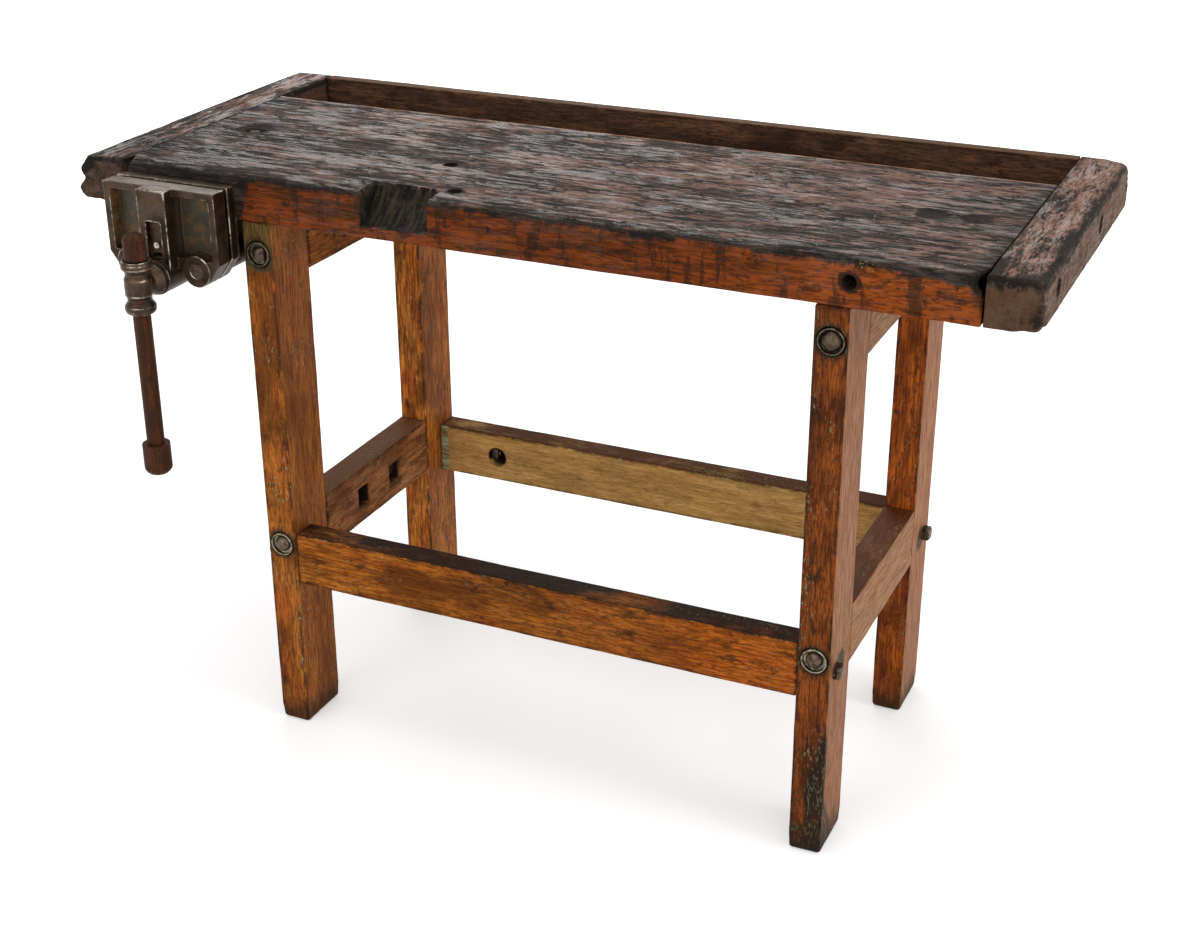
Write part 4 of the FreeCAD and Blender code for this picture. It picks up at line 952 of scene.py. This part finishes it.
def build_rails():
    woods = {"left_upper": "left_upper_rail_wood", "left_lower": "left_rail_wood",
             "right_upper": "right_rail_wood", "right_lower": "right_rail_wood"}
    for rail, wood in woods.items():
        worn_board(rail + "_rail", Y, (8, 3.8), FRAME_RIMS, FRAME_RELIEF, wood, "rail_wood")


def build_top():
    """The slab and its end caps."""
    stains = DOG_HOLE_STAINS + [PEG_HOLE_STAIN, KNOT, SEAM_STAIN]
    # The hollows' dark spots, a quarter wider than they are: painted shade of the recesses.
    stains += [(x, y, z, radius * 1.25) for x, y, z, radius in HOLLOWS]
    worn_board("bench_top_slab", X, (6, 2.5), (2.4, 13), 1.1, "slab_wood", "slab_wood",
               carve=slab_wear, widest=front_top_edge, band=slab_band, stains=stains, paint=[PAINT_ON_SLAB],
               cut=[notch_cutter()])
    worn_board("left_end_cap", Y, (3.5, 2.6), (2.6, 6), 1.5, "left_cap_wood", "cap_wood",
               carve=left_cap_wear, widest=outer_top_edge(bench_left), swell=left_cap_swell, band=cap_band,
               stains=[LEFT_CAP_STAIN])
    worn_board("right_end_cap", Y, (3.5, 2.6), (2.6, 11), 1.2, "right_cap_wood", "cap_wood",
               carve=right_cap_wear, widest=outer_top_edge(bench_right), band=cap_band, dirt=right_cap_dirt,
               stains=RIGHT_CAP_BOLT_STAINS)


def build_trough():
    worn_board("trough_back_board", X, (9, 3.4), (2.2, 2.2), 0.3, "board_wood", "board_wood")
    worn_board("trough_floor", X, (10, 4), (1.4, 1.4), 0.25, "trough_wood", "trough_wood")


# ---------------- the vise


def jaw_hollow(points, normals):
    """1 on the sunk panels of the front jaw, 2 on the left wall of its left panel and inside the slot below
    its dog, and 0.3 on that slot's rim. The 2 paints a pale colour as light into these shaded places; the
    slot has rust of its own.
    """
    dog_low, dog_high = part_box("jaw_dog")
    jaw_low, jaw_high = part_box("vise_front_jaw")
    depth = points[:, Y] - (dog_low.y + 10 * MM)
    within = fade(np.minimum(points[:, X] - jaw_low.x, jaw_high.x - points[:, X]), 3, 6)
    wall = smooth_step(normals[:, X], 0.5, 0.8) * fade(points[:, X] - jaw_low.x, 40, 30)
    behind = fade(depth, 4, 11) * smooth_step(normals[:, Y], 0.3, -0.1)
    behind = np.maximum(behind, 2 * wall * fade(depth, 1.5, 4))
    panels = behind * within * fade(points[:, Z], 720, 735)
    from_dog = np.abs(points[:, X] - (dog_low.x + dog_high.x) / 2)
    slot = 2 * fade(from_dog, 14, 12) * fade(points[:, Y] - dog_low.y, 1, 3)
    rim = 0.3 * fade(from_dog, 18, 15)
    return np.maximum(panels, np.maximum(slot, rim) * fade(points[:, Z] - dog_low.z, 20, 8))


def domed(points, tip, outward, radius, drop):
    """Rounds an end face over: the points near the tip's plane fall back towards their rim."""
    tip, outward = np.array(tip), np.array(outward, float)
    along_axis = (points - tip) @ outward
    from_axis = np.linalg.norm(points - tip - along_axis[:, None] * outward, axis=1)
    share = smooth_step(along_axis, -2.2 * drop, 0) * (from_axis < radius * 1.3)
    return points - outward * (share * drop * (from_axis / radius) ** 2)[:, None]


SQUARE_HEAD = ("left", BOLT_HEIGHTS[0], "front")
BROAD_HEAD = ("right", BOLT_HEIGHTS[0], "front")
HEAD_HALF_WIDTH = 9 * MM


def dome_head(points, which):
    """Rounds one rail bolt's head, in place: the square one keeps its corners, the others turn round."""
    side, height, end = which
    outward = np.array((0, -1 if end == "front" else 1, 0), float)
    tip = np.array(place(LEG_X[side], FACE_Y[end], height))
    near = distance_from(points, tip) < 16 * MM
    tip[Y] = (points[near] @ outward).max() * outward[Y]
    if which == SQUARE_HEAD:
        points[near] = domed(points[near], tip, outward, HEAD_HALF_WIDTH, 2.4 * MM)
        return
    radius, drop = (14 * MM, 6.5 * MM) if which == BROAD_HEAD else (11.4 * MM, 5 * MM)
    head = near & (np.abs(points[:, Y] - tip[Y]) < 8 * MM)
    offset = (points[head] - tip) * (1, 0, 1)
    square, distance = np.abs(offset).max(axis=1), np.linalg.norm(offset, axis=1)
    rounder = radius / HEAD_HALF_WIDTH * square / np.maximum(distance, 0.1 * MM)
    points[head] += offset * (rounder - 1)[:, None]
    points[head] = domed(points[head], tip, outward, radius, drop)


def dome_heads(points):
    """Rounds the heads of the rail bolts, which lie in cup washers on the legs' faces."""
    for side in LEG_X:
        for height in BOLT_HEIGHTS:
            for end in FACE_Y:
                dome_head(points, (side, height, end))
    return points


def dome_knob(node, up, drop):
    """A function that rounds the outer end of a knob of the handle."""
    low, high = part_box(node)
    tip = ((low.x + high.x) / 2, (low.y + high.y) / 2, high.z if up > 0 else low.z)
    radius = (high.x - low.x) / 2
    return lambda points: domed(points, tip, (0, 0, up), radius, drop)


THREAD_LEAD = 6.35 * MM
THREAD_DEPTH = 2.0 * MM
THREAD_ROW = 0.55 * MM
THREAD_SIDES = 48
THREAD_LAP = 0.3 * MM


def thread_shape(middle, radius, front, rear):
    """The points and faces of the screw's thread, as rings of points that rise and fall with its turns."""
    rows = np.arange(front, rear, THREAD_ROW)
    row, turn = np.meshgrid(rows, np.linspace(0, 1, THREAD_SIDES + 1)[:-1], indexing="ij")
    phase = (row / THREAD_LEAD - turn) % 1.0
    crest = smooth_step(np.abs(phase - 0.5), 0.33, 0.17)
    end_fade = smooth_step(row, front, front + 4 * MM) * smooth_step(row, rear, rear - 2 * MM)
    reach = radius - THREAD_DEPTH * (1 - crest) * end_fade
    angle = turn * 2 * math.pi
    points = np.stack([middle[X] + reach * np.sin(angle), row, middle[Z] + reach * np.cos(angle)], axis=-1)
    ring = np.arange(len(rows) - 1)[:, None] * THREAD_SIDES
    first = (ring + np.arange(THREAD_SIDES)).ravel()
    after = (ring + (np.arange(THREAD_SIDES) + 1) % THREAD_SIDES).ravel()
    faces = np.stack([first, first + THREAD_SIDES, after + THREAD_SIDES, after], axis=1)
    return points.reshape(-1, 3), faces


def add_plain_end(mesh, core, cut_at, is_front):
    """Adds what lies before or behind the cut of the screw's own solid."""
    rest = bmesh.new()
    rest.from_mesh(core.data)
    geometry = rest.verts[:] + rest.edges[:] + rest.faces[:]
    bmesh.ops.bisect_plane(rest, geom=geometry, plane_co=(0, cut_at, 0), plane_no=(0, 1, 0),
                           clear_outer=is_front, clear_inner=not is_front)
    end_mesh = bpy.data.meshes.new("vise_screw.end")
    rest.to_mesh(end_mesh)
    rest.free()
    joined = bmesh.new()
    joined.from_mesh(mesh)
    joined.from_mesh(end_mesh)
    joined.to_mesh(mesh)
    joined.free()


def build_screw():
    """The vise's screw with its thread, which runs from behind the jaw to the yoke."""
    low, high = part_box("vise_screw")
    radius = (high.x - low.x) / 2
    core = closed_copy("vise_screw")
    shape = points_of(core.data)
    middle = np.array(((low.x + high.x) / 2, 0, (low.z + high.z) / 2))
    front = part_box("vise_front_jaw")[1].y + 1 * MM
    rear = shape[(np.hypot(*(shape - middle).T[[X, Z]]) > radius * 0.98), Y].max()
    thread = link("vise_screw.worn", mesh_of("vise_screw.worn", *thread_shape(middle, radius, front, rear)))
    shade(thread, 50)
    add_plain_end(thread.data, core, front + THREAD_LAP, True)
    add_plain_end(thread.data, core, rear - THREAD_LAP, False)
    bpy.data.objects.remove(core)
    finish_piece(thread, "screw_steel", "screw", "screw_steel", "vise_screw")


def no_board_marks(mesh):
    """Stores the numbers that the boards' wood reads, for a piece that has no stains, paint or worn edges."""
    for name, value in (("inside", 0.0), ("edge", 0.05), ("stain", 0.0), ("paint", 0.0)):
        set_value(mesh, name, np.full(len(mesh.vertices), value))


# The socket's ring edges are rubbed brighter than the rest, as wear and painted highlights.
SOCKET_RUBBING_AND_GLINT = 2.2

# Node, voxel in millimetres, rounds of softening, body, finish, hollow, change of the points.
EVEN_PIECES = (
    ("vise_front_jaw", 0.9, 4, "front_jaw", "vise_iron", jaw_hollow, None),
    ("vise_rear_jaw", 1.4, 3, "bench", "vise_iron", no_wear, None),
    ("handle_socket", 0.7, 3, "screw", "vise_iron", no_wear, None),
    ("jaw_dog", 0.7, 4, "dog", "vise_iron", no_wear, None),
    ("rail_bolts", 0.9, 8, "bench", "bolt_steel", no_wear, dome_heads),
    ("rail_bolt_cup_washers", 0.8, 4, "bench", "cup_metal", no_wear, None),
    ("stretcher_bolts", 0.9, 7, "bench", "bolt_steel", no_wear, None),
    ("handle_rod", 1.0, 4, "handle", "handle_wood", no_wear, None),
    ("handle_top_knob", 0.8, 24, "handle", "handle_wood", no_wear, dome_knob("handle_top_knob", 1, 6 * MM)),
    ("handle_bottom_knob", 0.8, 24, "handle", "handle_wood", no_wear,
     dome_knob("handle_bottom_knob", -1, 8 * MM)),
)


def build_even_pieces():
    """The cast, turned and forged pieces of the vise, and the bolts of the bench."""
    for node, voxel, rounds, body, slot, hollow, reshape in EVEN_PIECES:
        rubbing_and_glint = SOCKET_RUBBING_AND_GLINT if node == "handle_socket" else 1.0
        piece = even_piece(node, voxel * MM, rounds, hollow, rubbing_and_glint)
        if reshape:
            set_points(piece.data, reshape(points_of(piece.data)))
        if slot == "handle_wood":
            no_board_marks(piece.data)
        finish_piece(piece, slot, body, slot, node)
    frame["nodes"]["jaw_dog_screw"].data.materials[0] = MATERIALS["bright_steel"]
    frame["nodes"]["vise_hanger_bolt"].data.materials[0] = MATERIALS["hanger_shaded_steel"]


# ---------------- the studio


def build_floor():
    """A pale floor, white to the camera and in reflections, that keeps the bench's shadow."""
    s = Shader("floor")
    s.keep("floor", Base_Color=(0.8, 0.8, 0.8, 1), Roughness=0.9, Specular_IOR_Level=0.1)
    path = s.node("ShaderNodeLightPath").outputs
    seen = s.most(path["Is Camera Ray"], path["Is Glossy Ray"])
    distance = s.node("ShaderNodeVectorMath", {0: s.where}, operation="LENGTH").outputs["Value"]
    lift = s.plus(0.4, s.product(s.step(distance, 1.2, 4.5), 0.6))
    glow = s.node("ShaderNodeEmission", {"Color": (1, 1, 1, 1), "Strength": s.product(seen, lift)}).outputs[0]
    both = s.node("ShaderNodeAddShader", {0: s.surface.outputs[0], 1: glow}).outputs[0]
    s.feed(s.tree.nodes["Material Output"].inputs["Surface"], both)
    half_width, thickness = 14.0, 0.02
    sides = np.array([-half_width, half_width])
    floor = link("floor", mesh_of("floor", *lattice_box([sides, sides, np.array([-thickness, 0.0])])))
    floor.data.materials.append(s.material)


def build_world():
    """A white surround to the camera and in reflections, and a softer light on the object."""
    world = bpy.data.worlds.new("studio")
    world.use_nodes = True
    bpy.context.scene.world = world
    w = Nodes(world.node_tree)
    path = w.node("ShaderNodeLightPath").outputs
    seen = w.most(w.most(path["Is Camera Ray"], path["Is Glossy Ray"]), path["Is Transmission Ray"])
    background = w.tree.nodes["Background"]
    w.feed(background.inputs["Strength"], w.between(seen, 0.55, 1.0))
    w.feed(background.inputs["Color"], (1, 1, 1, 1))


LIGHTS_AIM = Vector((0, 0, 0.5))

# Name, place, width, height and watts.
LIGHTS = (
    ("overhead", (0.2, 0.2, 3.0), 2.6, 2.2, 30),
    ("rear", (-1.7, 3.3, 2.3), 2.6, 1.6, 34),
    ("right", (3.2, -0.2, 1.6), 1.6, 2.4, 34),
    ("front", (-0.8, -3.4, 2.0), 2.6, 2.0, 40),
    ("front right", (2.3, -2.8, 1.3), 1.2, 1.6, 14),
)


def build_lights():
    """Large rectangular lights, aimed at the bench's middle."""
    for name, place_at, width, height, watts in LIGHTS:
        lamp = bpy.data.lights.new(name, "AREA")
        lamp.shape = "RECTANGLE"
        lamp.size = width
        lamp.size_y = height
        lamp.energy = watts
        made = link(name, lamp)
        made.location = place_at
        made.rotation_euler = (LIGHTS_AIM - Vector(place_at)).to_track_quat("-Z", "Y").to_euler()


CAMERA_PLACE = (1666.2, -1973.6, 1519.2)
CAMERA_YAW, CAMERA_PITCH, CAMERA_ROLL = 0.423, -0.4333, -0.0019
LENS = 55.77


def build_camera():
    """The camera at the photograph's angle."""
    camera = bpy.data.cameras.new("camera")
    camera.sensor_fit = "HORIZONTAL"
    camera.sensor_width = 36.0
    camera.lens = LENS
    made = link("camera", camera)
    turned = Matrix.Rotation(CAMERA_YAW, 4, "Z") @ Matrix.Rotation(math.pi / 2 + CAMERA_PITCH, 4, "X")
    turned = turned @ Matrix.Rotation(CAMERA_ROLL, 4, "Z")
    made.matrix_world = Matrix.Translation(place(*CAMERA_PLACE)) @ turned
    bpy.context.scene.camera = made


bpy.context.scene.view_settings.view_transform = "Standard"
build_camera()
build_world()
build_lights()
build_floor()
make_woods()
make_metals()
dress_frame()
build_legs()
build_stretchers()
build_rails()
build_top()
build_trough()
build_even_pieces()
build_screw()
